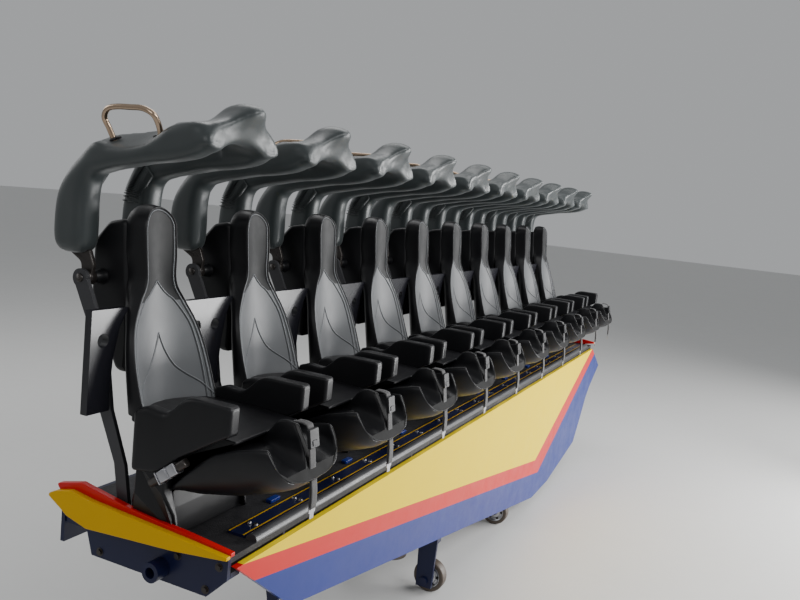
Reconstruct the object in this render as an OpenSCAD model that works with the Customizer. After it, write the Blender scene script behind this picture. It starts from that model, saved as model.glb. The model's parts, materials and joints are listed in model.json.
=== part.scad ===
// Ten-abreast roller coaster car: one row of moulded seats with raised
// over-shoulder restraints on a trussed deck, carried by two wheel carriers.
// Millimetres, +Z up, the riders face -Y. The origin is the centre of the rear
// coupling eye. Inside the modules, row coordinates are used: X from the middle
// of the row, Y back from the fronts of the hip bolsters, Z from their tops.

/* [Row] */
// Number of seats side by side
seat_count = 10; // [4:1:10]
// Distance from one seat centre to the next
seat_pitch = 620; // [600:5:680]
// Level of the deck top below the bolster tops
deck_drop = 527; // [510:1:560]
// Level of the lowest wheels below the bolster tops
ground_drop = 1660; // [1655:1:1720]

/* [Seat] */
// Width over the two hip bolsters
seat_w = 502; // [490:2:520]
// Thickness of a hip bolster
bolster_t = 58; // [40:1:70]
// Height of a bolster's front edge
bolster_h = 95; // [80:1:110]
// Level of the seat pan below the bolster tops
pan_drop = 118; // [105:1:130]
// Thickness of the seat pan
pan_t = 40; // [25:1:50]
// Half width of the head section
head_r = 86; // [75:1:88]
// Height of the head section's top above the bolsters
head_top = 608; // [580:1:630]
// How far the leaf-shaped lower back lies inside the bolsters' outer sides
leaf_in = 51; // [46:1:70]
// Radius of the hollow of the back
hollow_r = 347; // [320:1:400]
// Thickness of the back's leaf-shaped inset
inset_t = 7; // [4:1:12]
// Depth of the housing behind the head
housing_y = 800; // [780:1:820]
// Height of that housing's top
housing_top = 545; // [500:1:560]
// Thickness of the panels between the backs
panel_t = 30; // [15:1:40]
// Radius of the round holes in those panels
panel_hole_r = 26; // [15:1:35]

/* [Calf shells and straps] */
// Half width of a double calf shell
calf_w = 222; // [210:1:230]
// Radius of each calf trough
trough_r = 88; // [75:1:92]
// Slope of the troughs, down towards the front
trough_tilt = 29; // [24:1:34]
// Radius of the shell's lower corners
belly_r = 84; // [60:1:95]
// Slope of the shell's underside, down towards the back
belly_slope = 18; // [16:1:19]
// Width of the strap webbing
strap_w = 44; // [30:1:50]
// Thickness of the strap webbing
strap_t = 4; // [3:0.5:6]
// Level of the strap's free end below the bolster tops
strap_drop = 372; // [350:1:400]

/* [Restraint] */
// Distance from the seat's middle to the middle of an arm
arm_x = 146; // [142:1:150]
// Width of an arm
arm_w = 98; // [80:1:100]
// Thickness of an arm, seen from the side
arm_t = 120; // [100:1:130]
// Radius of an arm's corners
arm_corner = 34; // [25:1:38]
// Place of the arm's lower end, back from the bolster fronts
arm_y = 808; // [790:1:830]
// Level of the arm's lower end
arm_low = 430; // [420:1:450]
// Height of the arm's straight lower stretch
arm_rise = 210; // [180:1:240]
// Inner radius of the arm's bend
bend_r = 75; // [60:1:90]
// Upward slope of the arm's forward stretch
arm_tilt = 12; // [8:1:15]
// Length of the arm's forward stretch
arm_run = 450; // [430:1:470]
// Half width of the flared tail
tail_w = 195; // [185:1:205]
// Height of the tail's peak
tail_top = 995; // [985:1:1010]
// Radius of the arch under the tail
arch_r = 440; // [420:1:470]
// Place of the pivot, back from the bolster fronts
pivot_y = 745; // [735:1:755]
// Level of the pivot
pivot_z = 325; // [315:1:330]
// Radius of the pivot pin
pivot_r = 16; // [12:1:20]
// Radius of the lever's hub
hub_r = 34; // [28:1:38]
// Thickness of the lever
lever_t = 40; // [30:1:44]
// Diameter of the grab handle's tube
handle_d = 25; // [20:1:30]
// Length of the grab handle
handle_l = 235; // [200:5:240]
// Height of the grab handle over the flat that it stands on
handle_h = 125; // [100:1:135]
// Outward tilt of that flat, cut into the arm's top
flat_tilt = 32; // [25:1:36]
// Distance of that flat from the arm's middle line
flat_out = 24; // [20:1:30]
// Length of that flat
flat_l = 235; // [225:1:245]
// Radius of the hollow in which that flat ends
flat_end_r = 60; // [40:1:70]

/* [Deck] */
// How far the deck ends inside the outer side of the last bolster
deck_in = 62; // [46:1:66]
// Place of the deck's front edge
deck_front = -5; // [-10:1:0]
// Place of the deck's rear edge
deck_rear = 760; // [740:1:780]
// Thickness of the deck tray
deck_t = 22; // [15:1:30]
// Radius of the front rail
rail_r = 24; // [18:1:28]
// How much shorter the front rail is than the deck at each end
rail_short = 146; // [100:1:200]
// Thickness of the end plates
end_t = 18; // [12:1:25]
// Depth of the end plates and the rear skirt
end_h = 160; // [140:1:180]
// Thickness of the front panel
panel_y = 24; // [18:1:30]
// Height of the front panel
panel_h = 1013; // [1000:1:1030]
// How far its top edge lies below the deck top
panel_top = 33; // [28:1:36]
// Thickness of each end fin
fin_t = 24; // [16:1:30]

/* [Undercarriage] */
// Half the track gauge, from rail middle to car middle
gauge_half = 650; // [600:10:700]
// Diameter of the track's running tube
track_d = 160; // [140:5:165]
// Radius of a running wheel
run_r = 165; // [150:1:170]
// Width of a running wheel
run_w = 76; // [60:1:80]
// Half the distance between the running wheels
run_base = 235; // [225:1:250]
// Radius of a guide wheel
guide_r = 110; // [90:1:112]
// Width of a guide wheel
guide_w = 62; // [50:1:70]
// Half the distance between the guide wheels
guide_base = 118; // [116:1:122]
// Radius of an up-stop wheel
stop_r = 100; // [85:1:105]
// Width of an up-stop wheel
stop_w = 70; // [50:1:76]
// Half the distance between the up-stop wheels
stop_base = 330; // [325:1:350]
// Place of the wheel carriers' middle, back from the bolster fronts
axle_y = 450; // [446:1:480]
// Radius of the wheel axles
axle_r = 25; // [20:1:30]
// Thickness of a wheel's tyre
tyre_t = 26; // [18:1:32]
// Thickness of the carriers' plates
plate_t = 20; // [16:1:24]

/* [Couplings] */
// Place of the coupling eye, back from the bolster fronts
coupling_y = 1250; // [1200:5:1300]
// Level of the coupling eye below the bolster tops
coupling_drop = 900; // [880:1:905]
// Radius of the coupling eye's bore
coupling_bore = 30; // [20:1:35]
// Outer radius of the coupling eye
coupling_r = 70; // [60:1:80]
// Height of the coupling eye
coupling_h = 80; // [60:1:90]
// Radius of the bore of the sockets on the end plates
socket_bore = 20; // [14:1:26]
// Outer radius of those sockets
socket_r = 36; // [32:1:42]
// Length of those sockets
socket_l = 60; // [56:1:70]
// Place of those sockets, back from the bolster fronts
socket_y = 273; // [250:1:300]
// Level of those sockets below the deck top
socket_drop = 110; // [100:1:115]

/* [Hidden] */
// Radial clearance of a turning hub on its pin
run_gap = 0.05;
// Gap of a piece that only lies against its seat
seat_gap = 0.3;
// Clearance between wheels and the track or plates beside them
side_gap = 5;
// Gap between the up-stop wheels and the track
stop_gap = 3;

deck_z = -deck_drop;
seat_half = seat_w / 2;
leaf_w = seat_half - leaf_in;
deck_half = (seat_count - 1) / 2 * seat_pitch + seat_half - deck_in;
rail_half = deck_half - rail_short;
ground_z = -ground_drop;
stop_z = ground_z + stop_r;
track_z = stop_z + stop_r + stop_gap + track_d / 2;
run_z = track_z + track_d / 2 + run_r;
pan_z = -pan_drop;
pan_front = 12;
seat_rear = 408;
arm_r = bend_r + arm_t / 2;
// Step from the arm's bend down to its padded forward stretch, and how far that starts inside the bend
arm_step = 1;
arm_sink = 6;
// Middle of the flat under a grab handle, along the forward stretch
handle_s = 150;
lever_x = arm_x + 12;
bend_y = arm_y - arm_t / 2 - bend_r;
bend_z = arm_low + arm_rise;
wheel_out = gauge_half + max(run_w, stop_w) / 2 + side_gap;
frame_h = 60;
frame_inset = 90;
beam_top = deck_z - deck_t - frame_h;
beam_low = run_z + run_r + 25;
axle_end = 14;
girder_half = 150;
girder_flat = gauge_half + 300;

// Row coordinates to the model's frame
module row() translate([0, -coupling_y, coupling_drop]) children();
function seat_x(i) = (i - (seat_count + 1) / 2) * seat_pitch;
// Place of the deck frame's cross member i, halfway ones included
function frame_x(i) = (i - seat_count / 2) * (2 * deck_half - 60) / seat_count;
module seats() row() for (i = [1:seat_count]) translate([seat_x(i), 0, 0]) children();
module both() {
    children();
    mirror([1, 0, 0]) children();
}
// A profile of [y, z] points made as thick as x0 to x1
module side(x0, x1) translate([x0, 0, 0]) rotate([90, 0, 90]) linear_extrude(x1 - x0) children();
// A profile of [x, z] points made as deep as y0 to y1
module front(y0, y1) translate([0, y1, 0]) rotate([90, 0, 0]) linear_extrude(y1 - y0) children();
// A rounded rectangle about the origin
module soft_rect(w, h, r) {
    square([w - 2 * r, h], center = true);
    square([w, h - 2 * r], center = true);
    for (sx = [-1, 1], sy = [-1, 1]) translate([sx * (w / 2 - r), sy * (h / 2 - r)]) circle(r, $fn = 48);
}

// Deck, its frame and the girder under it

module deck_tray() {
    color("dimgray") row() translate([-deck_half, deck_front, deck_z - deck_t])
        cube([2 * deck_half, deck_rear - deck_front, deck_t]);
}

module edge_strip() {
    color("navy") row() translate([-rail_half, deck_front + rail_r * 2 + 8, deck_z])
        cube([2 * rail_half, 70, 10]);
}

module front_rail() {
    color("silver") row() translate([-rail_half, deck_front + rail_r, deck_z]) side(0, 2 * rail_half) {
        intersection() {
            circle(rail_r, $fn = 64);
            translate([-rail_r, 0]) square([2 * rail_r, rail_r]);
        }
    }
}

// Outline of the front panel and of its stripe: share of the deck's half length, share of the
// panel's height below its top edge
fascia_outline = [[-1, 0], [-0.871, 0.298], [0.386, 1], [0.554, 1], [0.873, 0.869], [0.944, 0.647],
    [0.99, 0.488], [1.031, 0.402], [1.154, 0.231], [1, 0]];
stripe_top = [[-1, -0.006], [0.374, 0.677], [0.997, 0]];
stripe_low = [[-1, 0.069], [0.42, 0.813], [1.041, 0.075]];
above = -0.06;
below = 1.12;

function turned(points) = [for (i = [len(points) - 1:-1:0]) points[i]];

module panel_polygon(shares) {
    polygon([for (p = shares) [p[0] * deck_half, deck_z - panel_top - p[1] * panel_h]]);
}

module fascia_area(shares) {
    front(deck_front - seat_gap - panel_y, deck_front - seat_gap) intersection() {
        panel_polygon(fascia_outline);
        panel_polygon(shares);
    }
}

module fascia_yellow() {
    color("gold") row() fascia_area(concat(stripe_top, [[0.997, above], [-1, above]]));
}

module fascia_stripe() {
    color("red") row() fascia_area(concat(stripe_low, [[1.041, above], [0.997, above]], turned(stripe_top)));
}

module fascia_blue() {
    color("royalblue") row()
        fascia_area(concat([[-1, below], [1.18, below], [1.18, above], [1.041, above]], turned(stripe_low)));
}

module fascia_brackets() {
    back = deck_front + frame_inset - seat_gap;
    color("dimgray") row() for (i = [0:2:seat_count - 1]) translate([frame_x(i + 0.5), 0, 0])
        side(-7, 7) polygon([[deck_front, deck_z - deck_t - seat_gap], [deck_front, deck_z - 330],
            [deck_front + 40, deck_z - 330], [back, beam_top], [back, deck_z - deck_t - seat_gap]]);
}

module end_plates() {
    color("midnightblue") row() both() side(-deck_half - end_t, -deck_half) polygon([[deck_front, deck_z],
        [deck_rear - 140, deck_z], [deck_rear - 120, deck_z - 40], [deck_rear - 160, deck_z - end_h],
        [deck_front + 80, deck_z - end_h], [deck_front, deck_z - end_h / 2]]);
}

// Short tubes welded to the end plates, open outwards
module end_sockets() {
    color("midnightblue") row() both()
        translate([-deck_half - end_t - seat_gap - socket_l, socket_y, deck_z - socket_drop])
            rotate([0, 90, 0]) difference() {
                cylinder(r = socket_r, h = socket_l, $fn = 64);
                translate([0, 0, -1]) cylinder(r = socket_bore, h = socket_l + 2, $fn = 64);
            }
}

module rear_skirt() {
    color("midnightblue") row() translate([-deck_half, deck_rear, deck_z - end_h])
        cube([2 * deck_half, end_t, end_h]);
}

module fins_outer() {
    color("gold") row() both() translate([-deck_half - end_t - 2 * fin_t, 0, deck_z]) side(0, fin_t)
        polygon([[20, 7], [471, 49], [640, 65], [740, 52], [856, 4], [719, -68], [632, -78], [37, 0]]);
}

module fins_inner() {
    color("red") row() both() translate([-deck_half - end_t - fin_t, 0, deck_z]) side(0, fin_t)
        polygon([[0, 12], [471, 74], [663, 99], [787, 68], [740, 27], [632, -33], [0, -3]]);
}

module deck_frame() {
    color("midnightblue") row() {
        for (y = [deck_front + frame_inset, deck_rear - frame_inset - frame_h])
            translate([-deck_half + 2, y, beam_top]) cube([2 * deck_half - 4, frame_h, frame_h]);
        for (i = [0:seat_count])
            translate([frame_x(i) - 25, deck_front + 2, beam_top])
                cube([50, deck_rear - deck_front - 4, frame_h]);
    }
}

module main_girder() {
    color("midnightblue") row() difference() {
        translate([0, axle_y, 0]) front(-girder_half, girder_half) polygon([
            [-deck_half + 60, beam_top], [-deck_half + 60, beam_top - 70], [-girder_flat, beam_low],
            [girder_flat, beam_low], [deck_half - 60, beam_top - 70], [deck_half - 60, beam_top]]);
        for (s = [-1, 1], i = [0:3])
            translate([s * (girder_flat + 200 + i * (deck_half - girder_flat) / 6), axle_y - girder_half - 1,
                beam_top - 110 + i * 12])
                rotate([-90, 0, 0]) cylinder(r = 62 - i * 8, h = 2 * girder_half + 2, $fn = 64);
    }
}

module coupling_bar() {
    coupling_z = -coupling_drop;
    color("slategray") row() difference() {
        union() {
            translate([0, coupling_y, coupling_z - coupling_h / 2])
                cylinder(r = coupling_r, h = coupling_h, $fn = 96);
            translate([-45, axle_y + girder_half, coupling_z - 35])
                cube([90, coupling_y - axle_y - girder_half, 70]);
            side(-12, 12) polygon([[axle_y + girder_half, beam_low + 60],
                [axle_y + girder_half, coupling_z - 35], [axle_y + girder_half + 260, coupling_z]]);
        }
        translate([0, coupling_y, coupling_z - coupling_h / 2 - 1])
            cylinder(r = coupling_bore, h = coupling_h + 2, $fn = 96);
    }
}

// Seats

module seat_pans() {
    color("black") seats() {
        side(-seat_half + bolster_t + seat_gap, seat_half - bolster_t - seat_gap)
            polygon([[pan_front, pan_z + 10], [pan_front, pan_z - pan_t + 20], [190, pan_z - pan_t - 60],
                [290, pan_z - 170], [250, deck_z], [seat_rear, deck_z], [seat_rear, pan_z], [200, pan_z]]);
    }
}

module bolster() {
    side(-seat_half, -seat_half + bolster_t) polygon([[0, 0], [0, -bolster_h], [192, -bolster_h - 114],
        [279, -bolster_h - 182], [400, -bolster_h - 210], [seat_rear, -140], [400, -86], [330, -70],
        [272, -80], [235, -45], [195, 0]]);
}

module hip_bolsters() {
    color("black") seats() both() bolster();
}

// Front outline of the back, [half width, z], up one side
back_outline = [[leaf_w + 5, -130], [leaf_w + 8, -60], [leaf_w, 60], [leaf_w - 24, 170],
    [leaf_w - 80, 270], [head_r - 4, 340]];
module back_area(inset = 0) {
    right = [for (p = back_outline) [p[0] - inset, p[1]]];
    left = [for (i = [len(right) - 1:-1:0]) [-right[i][0], right[i][1]]];
    polygon(concat(right, left));
    translate([-head_r + inset, 330]) square([2 * (head_r - inset), head_top - head_r - 330]);
    translate([0, head_top - head_r]) circle(head_r - inset, $fn = 96);
}

module hollow(r) {
    translate([0, 534 - hollow_r, 135]) rotate([-8, 0, 0]) translate([0, 0, -320])
        cylinder(r = r, h = 800, $fn = 128);
}

module seat_back() {
    difference() {
        intersection() {
            front(360, housing_y) back_area();
            side(-seat_half, seat_half) polygon([[seat_rear + seat_gap, -130], [seat_rear + 8, -60],
                [470, 100], [500, 200], [530, 330], [545, 480], [572, head_top + 1],
                [650, head_top + 1], [650, 330], [600, 100], [560, -130]]);
        }
        hollow(hollow_r);
    }
    side(-head_r, head_r) polygon([[600, 0], [640, housing_top], [housing_y - 60, housing_top],
        [housing_y, housing_top - 70], [housing_y, 260], [640, 0]]);
}

module seat_backs() {
    color("black") seats() {
        seat_back();
        both() translate([head_r - 1, pivot_y, pivot_z]) rotate([0, 90, 0])
            cylinder(r = 28, h = lever_x - lever_t / 2 - 1 - head_r, $fn = 48);
        both() translate([head_r - 1, pivot_y, pivot_z]) rotate([0, 90, 0])
            cylinder(r = pivot_r, h = lever_x + lever_t / 2 + 24 - head_r, $fn = 48);
    }
}

module back_insets() {
    color("gray") seats() difference() {
        intersection() {
            front(360, housing_y) back_area(14);
            hollow(hollow_r - seat_gap);
            side(-seat_half, seat_half) polygon([[360, -110], [360, 340], [600, 340], [600, -110]]);
        }
        hollow(hollow_r - seat_gap - inset_t);
    }
}

module back_panels() {
    color("black") seats() both() difference() {
        translate([60, 560, -130]) cube([seat_pitch / 2 - seat_gap - 60, panel_t, 370]);
        front(550, 650) back_area(-seat_gap);
        translate([(leaf_w + seat_pitch / 2) / 2 - 3, 560, 130]) rotate([-90, 0, 0])
            cylinder(r = panel_hole_r, h = panel_t + 20, $fn = 48);
    }
}

module back_struts() {
    strut_x = lever_x + lever_t / 2 + 2;
    color("darkslategray") seats() both() difference() {
        side(strut_x, strut_x + 16) {
            polygon([[pivot_y - hub_r, pivot_z], [pivot_y + hub_r, pivot_z], [660, 100], [620, -130],
                [530, -320], [490, deck_z], [440, deck_z], [480, -320], [560 + seat_gap, -130],
                [600 + seat_gap, 100]]);
            translate([pivot_y, pivot_z]) circle(hub_r, $fn = 64);
        }
        translate([strut_x - 1, pivot_y, pivot_z]) rotate([0, 90, 0])
            cylinder(r = pivot_r, h = 18, $fn = 48);
    }
}

module seat_clamps() {
    ring_r = 19;
    color("silver") seats() both() translate([-calf_w - seat_gap - ring_r, 275, -326]) rotate([58, 0, 0]) {
        cylinder(r = 13, h = 140, $fn = 48);
        translate([0, 0, 40]) cylinder(r = ring_r, h = 26, $fn = 48);
        translate([0, 0, 84]) cylinder(r = ring_r, h = 26, $fn = 48);
    }
}

// Section of the calf shell's underside: flat in the middle, with big round corners
module belly_area() {
    translate([-calf_w + belly_r, 0]) square([2 * (calf_w - belly_r), belly_r]);
    translate([-calf_w, belly_r]) square([2 * calf_w, belly_r * 3]);
    for (s = [-1, 1]) translate([s * (calf_w - belly_r), belly_r]) circle(belly_r, $fn = 96);
}

// Double calf shell: a wedge with two sloping troughs and a tall divider
module calf_shell() {
    difference() {
        intersection() {
            side(-calf_w, calf_w) polygon([[255, -335], [93, -189], [-6, -148], [-118, -122], [-172, -240],
                [-165, -262], [-20, -323], [150, -372], [240, -362]]);
            translate([0, -165, -262]) rotate([-belly_slope, 0, 0]) front(-100, 500) belly_area();
        }
        for (s = [-1, 1])
            translate([s * (calf_w / 2 + 2), -172, -240]) rotate([trough_tilt, 0, 0])
                translate([0, -120, trough_r]) rotate([-90, 0, 0]) cylinder(r = trough_r, h = 560, $fn = 64);
    }
    side(-14, 14) polygon([[-176, -245], [-152, -78], [-122, -70], [pan_front - seat_gap, pan_z - 4],
        [pan_front - seat_gap, -200], [0, -260]]);
}

module calf_shells() {
    color("black") seats() calf_shell();
}

module calf_straps() {
    color("gray") seats() side(-strap_w / 2, strap_w / 2) polygon([[-122, -69.5], [-153, -77.5],
        [-186, -250], [-190, -strap_drop], [-190 - strap_t, -strap_drop], [-186 - strap_t, -250],
        [-156, -73], [-122, -65]]);
}

// How far forward the strap's outer face is at a level, over its sloping stretch
function strap_face(z) = -152 - strap_t - (-73 - z) * 34 / 177;

module strap_buckles() {
    color("black") seats() {
        side(-28, 28) polygon([[strap_face(-85) - seat_gap, -85], [strap_face(-150) - seat_gap, -150],
            [strap_face(-150) - 14, -150], [strap_face(-85) - 14, -85]]);
        side(-20, 20) translate([-190 - strap_t / 2 - 6, -strap_drop - seat_gap - 32]) square([12, 32]);
    }
}

// Restraints

// Places along an arm's forward stretch: Z runs along it, Y away from the riders
module arm_forward() {
    translate([arm_x, bend_y, bend_z]) rotate([90 - arm_tilt, 0, 0]) translate([0, arm_r, 0]) children();
}

module arm() {
    translate([arm_x, arm_y, arm_low]) linear_extrude(arm_rise) soft_rect(arm_w, arm_t, arm_corner);
    translate([arm_x, bend_y, bend_z]) rotate([90, 0, 90])
        rotate_extrude(angle = 90 - arm_tilt, $fn = 96) translate([arm_r, 0])
            soft_rect(arm_t, arm_w, arm_corner);
    arm_forward() translate([0, 0, -arm_sink]) linear_extrude(arm_run + arm_sink)
        soft_rect(arm_w - 2 * arm_step, arm_t - 2 * arm_step, arm_corner - arm_step);
}

// Places along the flat under a grab handle: the origin is its middle, and Z stands up from it
module on_flat() {
    arm_forward() translate([0, 0, handle_s]) rotate([0, 0, -flat_tilt]) translate([0, flat_out, 0])
        rotate([-90, 0, 0]) children();
}

// What is cut away over that flat, with a round hollow at both of its ends
module flat_cut() {
    on_flat() side(-arm_w, arm_w) {
        translate([-flat_l / 2, 0]) square([flat_l, arm_t]);
        for (s = [-1, 1]) translate([s * flat_l / 2, flat_end_r]) circle(flat_end_r, $fn = 96);
    }
}

module tail() {
    difference() {
        intersection() {
            side(-tail_w, tail_w) polygon([[360, 800], [360, tail_top - 67], [300, tail_top - 27],
                [250, tail_top - 3], [200, tail_top], [150, tail_top - 10], [130, tail_top - 23], [160, 948],
                [186, 922], [208, 886], [206, 845], [186, 800]]);
            front(120, 370) polygon([[tail_w, 874], [tail_w - 6, 812], [tail_w - 40, 803],
                [-tail_w + 40, 803], [-tail_w + 6, 812], [-tail_w, 874], [-tail_w + 15, 893],
                [-100, 930], [-40, 965], [-18, tail_top], [18, tail_top], [40, 965], [100, 930],
                [tail_w - 15, 893]]);
        }
        translate([0, 100, 856 - arch_r]) rotate([-90, 0, 0]) cylinder(r = arch_r, h = 300, $fn = 128);
    }
}

module restraint_pad(i) {
    color("darkslategray") row() translate([seat_x(i), 0, 0]) {
        both() difference() {
            arm();
            flat_cut();
        }
        tail();
    }
}

// Grab handle of bent tube, standing on a plane
module handle() {
    r = handle_d / 2;
    bend = 34;
    for (s = [-1, 1]) {
        translate([0, s * (handle_l / 2 - r), 0]) cylinder(r = r, h = handle_h - r - bend, $fn = 32);
        translate([0, s * (handle_l / 2 - r - bend), handle_h - r - bend]) rotate([90, 0, s * 90])
            rotate_extrude(angle = 90, $fn = 64) translate([bend, 0]) circle(r, $fn = 32);
    }
    translate([0, -handle_l / 2 + r + bend, handle_h - r]) rotate([-90, 0, 0])
        cylinder(r = r, h = handle_l - 2 * r - 2 * bend, $fn = 32);
}

module lever() {
    difference() {
        union() {
            translate([lever_x - lever_t / 2, pivot_y, pivot_z]) rotate([0, 90, 0])
                cylinder(r = hub_r, h = lever_t, $fn = 64);
            side(lever_x - 10, lever_x + 10) polygon([[pivot_y - 25, pivot_z + 20],
                [pivot_y - 10, arm_low - 10], [pivot_y + 20, arm_low - seat_gap],
                [arm_y + 40, arm_low - seat_gap], [arm_y + 40, arm_low - 20], [pivot_y + 30, pivot_z]]);
            translate([lever_x - 24, arm_y - 50, arm_low - 8 - seat_gap]) cube([48, 100, 8]);
        }
        translate([lever_x - lever_t / 2 - 1, pivot_y, pivot_z]) rotate([0, 90, 0])
            cylinder(r = pivot_r + run_gap, h = lever_t + 2, $fn = 64);
    }
}

module restraint_frame(i) {
    color("lightgray") row() translate([seat_x(i), 0, 0]) both() {
        lever();
        on_flat() translate([0, 0, seat_gap]) handle();
    }
}

// Wheels and their carriers

// A wheel about +X with its middle at the origin
module wheel(r, w) {
    rotate([0, 90, 0]) rotate_extrude($fn = 96) polygon([[axle_r + run_gap, -w / 2 + 4],
        [axle_r + 22, -w / 2 + 4], [axle_r + 22, -w / 2 + 14], [r - tyre_t - 8, -w / 2 + 14],
        [r - tyre_t, -w / 2], [r - 6, -w / 2], [r, -w / 2 + 8], [r, w / 2 - 8], [r - 6, w / 2],
        [r - tyre_t, w / 2], [r - tyre_t - 8, w / 2 - 14], [axle_r + 22, w / 2 - 14],
        [axle_r + 22, w / 2 - 4], [axle_r + run_gap, w / 2 - 4]]);
}

// Wheel places: number, side along X, side along Y
wheel_places = [[1, -1, -1], [2, 1, -1], [3, -1, 1], [4, 1, 1]];

module run_wheel(i) {
    p = wheel_places[i - 1];
    color("dimgray") row() translate([p[1] * gauge_half, axle_y + p[2] * run_base, run_z])
        wheel(run_r, run_w);
}

guide_x = gauge_half + track_d / 2 + stop_gap + guide_r;
module guide_wheel(i) {
    p = wheel_places[i - 1];
    color("dimgray") row() translate([p[1] * guide_x, axle_y + p[2] * guide_base, track_z])
        rotate([0, 90, 0]) wheel(guide_r, guide_w);
}

module stop_wheel(i) {
    p = wheel_places[i - 1];
    color("dimgray") row() translate([p[1] * gauge_half, axle_y + p[2] * stop_base, stop_z])
        wheel(stop_r, stop_w);
}

// An axle along X from the inner face of a wheel of width w to past a plate's outer face
module axle(w, y, z, plate_x) {
    translate([gauge_half - w / 2, y, z]) rotate([0, 90, 0])
        cylinder(r = axle_r, h = plate_x + plate_t + axle_end - gauge_half + w / 2, $fn = 64);
}

// The right-hand carrier; the left one is its mirror image
module carrier() {
    block = 60;
    arm_in = gauge_half + track_d / 2 + side_gap;
    shelf_z = track_z + guide_w / 2 + side_gap;
    shelf_t = plate_t * 1.5;
    foot_x = gauge_half - run_w / 2;
    translate([0, axle_y, 0]) {
        translate([foot_x, -block, run_z]) cube([wheel_out + plate_t - foot_x, 2 * block, beam_low - run_z]);
        side(wheel_out, wheel_out + plate_t) polygon([[-run_base - block, run_z + 50], [-2 * block, beam_low],
            [2 * block, beam_low], [run_base + block, run_z + 50], [stop_base + block, run_z - block],
            [stop_base + block, shelf_z + shelf_t], [-stop_base - block, shelf_z + shelf_t],
            [-stop_base - block, run_z - block]]);
        for (s = [-1, 1]) {
            axle(run_w, s * run_base, run_z, wheel_out);
            axle(stop_w, s * stop_base, stop_z, arm_in);
            side(arm_in, arm_in + plate_t) polygon([[s * stop_base - block, shelf_z + 2 * shelf_t],
                [s * stop_base + block, shelf_z + 2 * shelf_t], [s * stop_base + block - 10, stop_z - 40],
                [s * stop_base - block + 10, stop_z - 40]]);
            translate([wheel_out, s * stop_base - block, shelf_z + shelf_t])
                cube([arm_in + plate_t - wheel_out, 2 * block, shelf_t]);
            translate([guide_x, s * guide_base, track_z - guide_w / 2])
                cylinder(r = axle_r, h = guide_w + side_gap + shelf_t + 10, $fn = 64);
        }
        translate([wheel_out, -guide_base - block, shelf_z])
            cube([guide_x + block - wheel_out, 2 * (guide_base + block), shelf_t]);
    }
}

module carrier_right() {
    color("midnightblue") row() carrier();
}

module carrier_left() {
    color("midnightblue") row() mirror([1, 0, 0]) carrier();
}

deck_tray();
edge_strip();
front_rail();
fascia_yellow();
fascia_stripe();
fascia_blue();
fascia_brackets();
end_plates();
end_sockets();
rear_skirt();
fins_outer();
fins_inner();
deck_frame();
main_girder();
coupling_bar();
seat_pans();
hip_bolsters();
seat_backs();
back_insets();
back_panels();
back_struts();
seat_clamps();
calf_shells();
calf_straps();
strap_buckles();
carrier_left();
carrier_right();
for (i = [1:seat_count]) {
    restraint_pad(i);
    restraint_frame(i);
}
for (i = [1:4]) {
    run_wheel(i);
    guide_wheel(i);
    stop_wheel(i);
}
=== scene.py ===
"""Looks of a ten-abreast roller coaster car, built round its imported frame. Metres, +Z up."""
import json
import math

import bpy
import numpy as np
from mathutils import Matrix, Vector

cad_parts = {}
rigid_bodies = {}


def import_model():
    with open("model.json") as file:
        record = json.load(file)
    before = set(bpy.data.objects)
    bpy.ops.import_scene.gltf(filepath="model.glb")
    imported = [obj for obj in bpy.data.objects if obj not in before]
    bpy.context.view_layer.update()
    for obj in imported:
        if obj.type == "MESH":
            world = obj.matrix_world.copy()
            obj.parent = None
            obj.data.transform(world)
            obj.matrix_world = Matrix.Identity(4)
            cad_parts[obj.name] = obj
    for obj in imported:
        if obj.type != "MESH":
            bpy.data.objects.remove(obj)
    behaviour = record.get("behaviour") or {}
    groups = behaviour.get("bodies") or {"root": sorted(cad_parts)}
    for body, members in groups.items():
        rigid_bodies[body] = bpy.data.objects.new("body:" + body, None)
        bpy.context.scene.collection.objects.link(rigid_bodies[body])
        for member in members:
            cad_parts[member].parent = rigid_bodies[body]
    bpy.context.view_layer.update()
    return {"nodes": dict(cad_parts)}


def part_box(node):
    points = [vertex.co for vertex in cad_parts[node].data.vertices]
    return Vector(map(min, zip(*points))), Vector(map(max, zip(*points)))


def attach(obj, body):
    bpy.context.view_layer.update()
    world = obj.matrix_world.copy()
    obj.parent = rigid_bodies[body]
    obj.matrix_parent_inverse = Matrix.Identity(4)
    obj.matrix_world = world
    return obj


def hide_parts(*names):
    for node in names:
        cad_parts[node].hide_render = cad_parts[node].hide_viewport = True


bl_info = {
    "name": "Roller coaster car",
    "version": (1, 0, 0),
    "blender": (4, 5, 0),
    "location": "View3D > Sidebar > Coaster",
    "description": "Seats, restraints, deck and wheels of a wide coaster car",
    "category": "Add Mesh",
}

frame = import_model()

# The row frame: the fronts of the hip bolsters are its Y zero, and their tops its Z zero
BOLSTER_LOW, BOLSTER_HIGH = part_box("hip_bolsters")
ROW_Y = BOLSTER_LOW.y
ROW_Z = BOLSTER_HIGH.z
SEAT_COUNT = len([name for name in frame["nodes"] if name.startswith("restraint_pad_")])
SEAT_W = 0.502
SEAT_PITCH = (BOLSTER_HIGH.x - BOLSTER_LOW.x - SEAT_W) / (SEAT_COUNT - 1)
SEAT_X = [(i - (SEAT_COUNT - 1) / 2) * SEAT_PITCH for i in range(SEAT_COUNT)]
DECK_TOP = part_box("deck_tray")[1].z - ROW_Z
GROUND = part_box("stop_wheel_1")[0].z


# Properties that a user would change

def colour_value(name, description, default):
    """A colour that a user can change."""
    return bpy.props.FloatVectorProperty(
        name=name, description=description, subtype="COLOR", default=default, min=0, max=1)


def length_value(name, description, default, low, high):
    """A length that a user can change."""
    return bpy.props.FloatProperty(
        name=name, description=description, unit="LENGTH", default=default, min=low, max=high)


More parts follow.
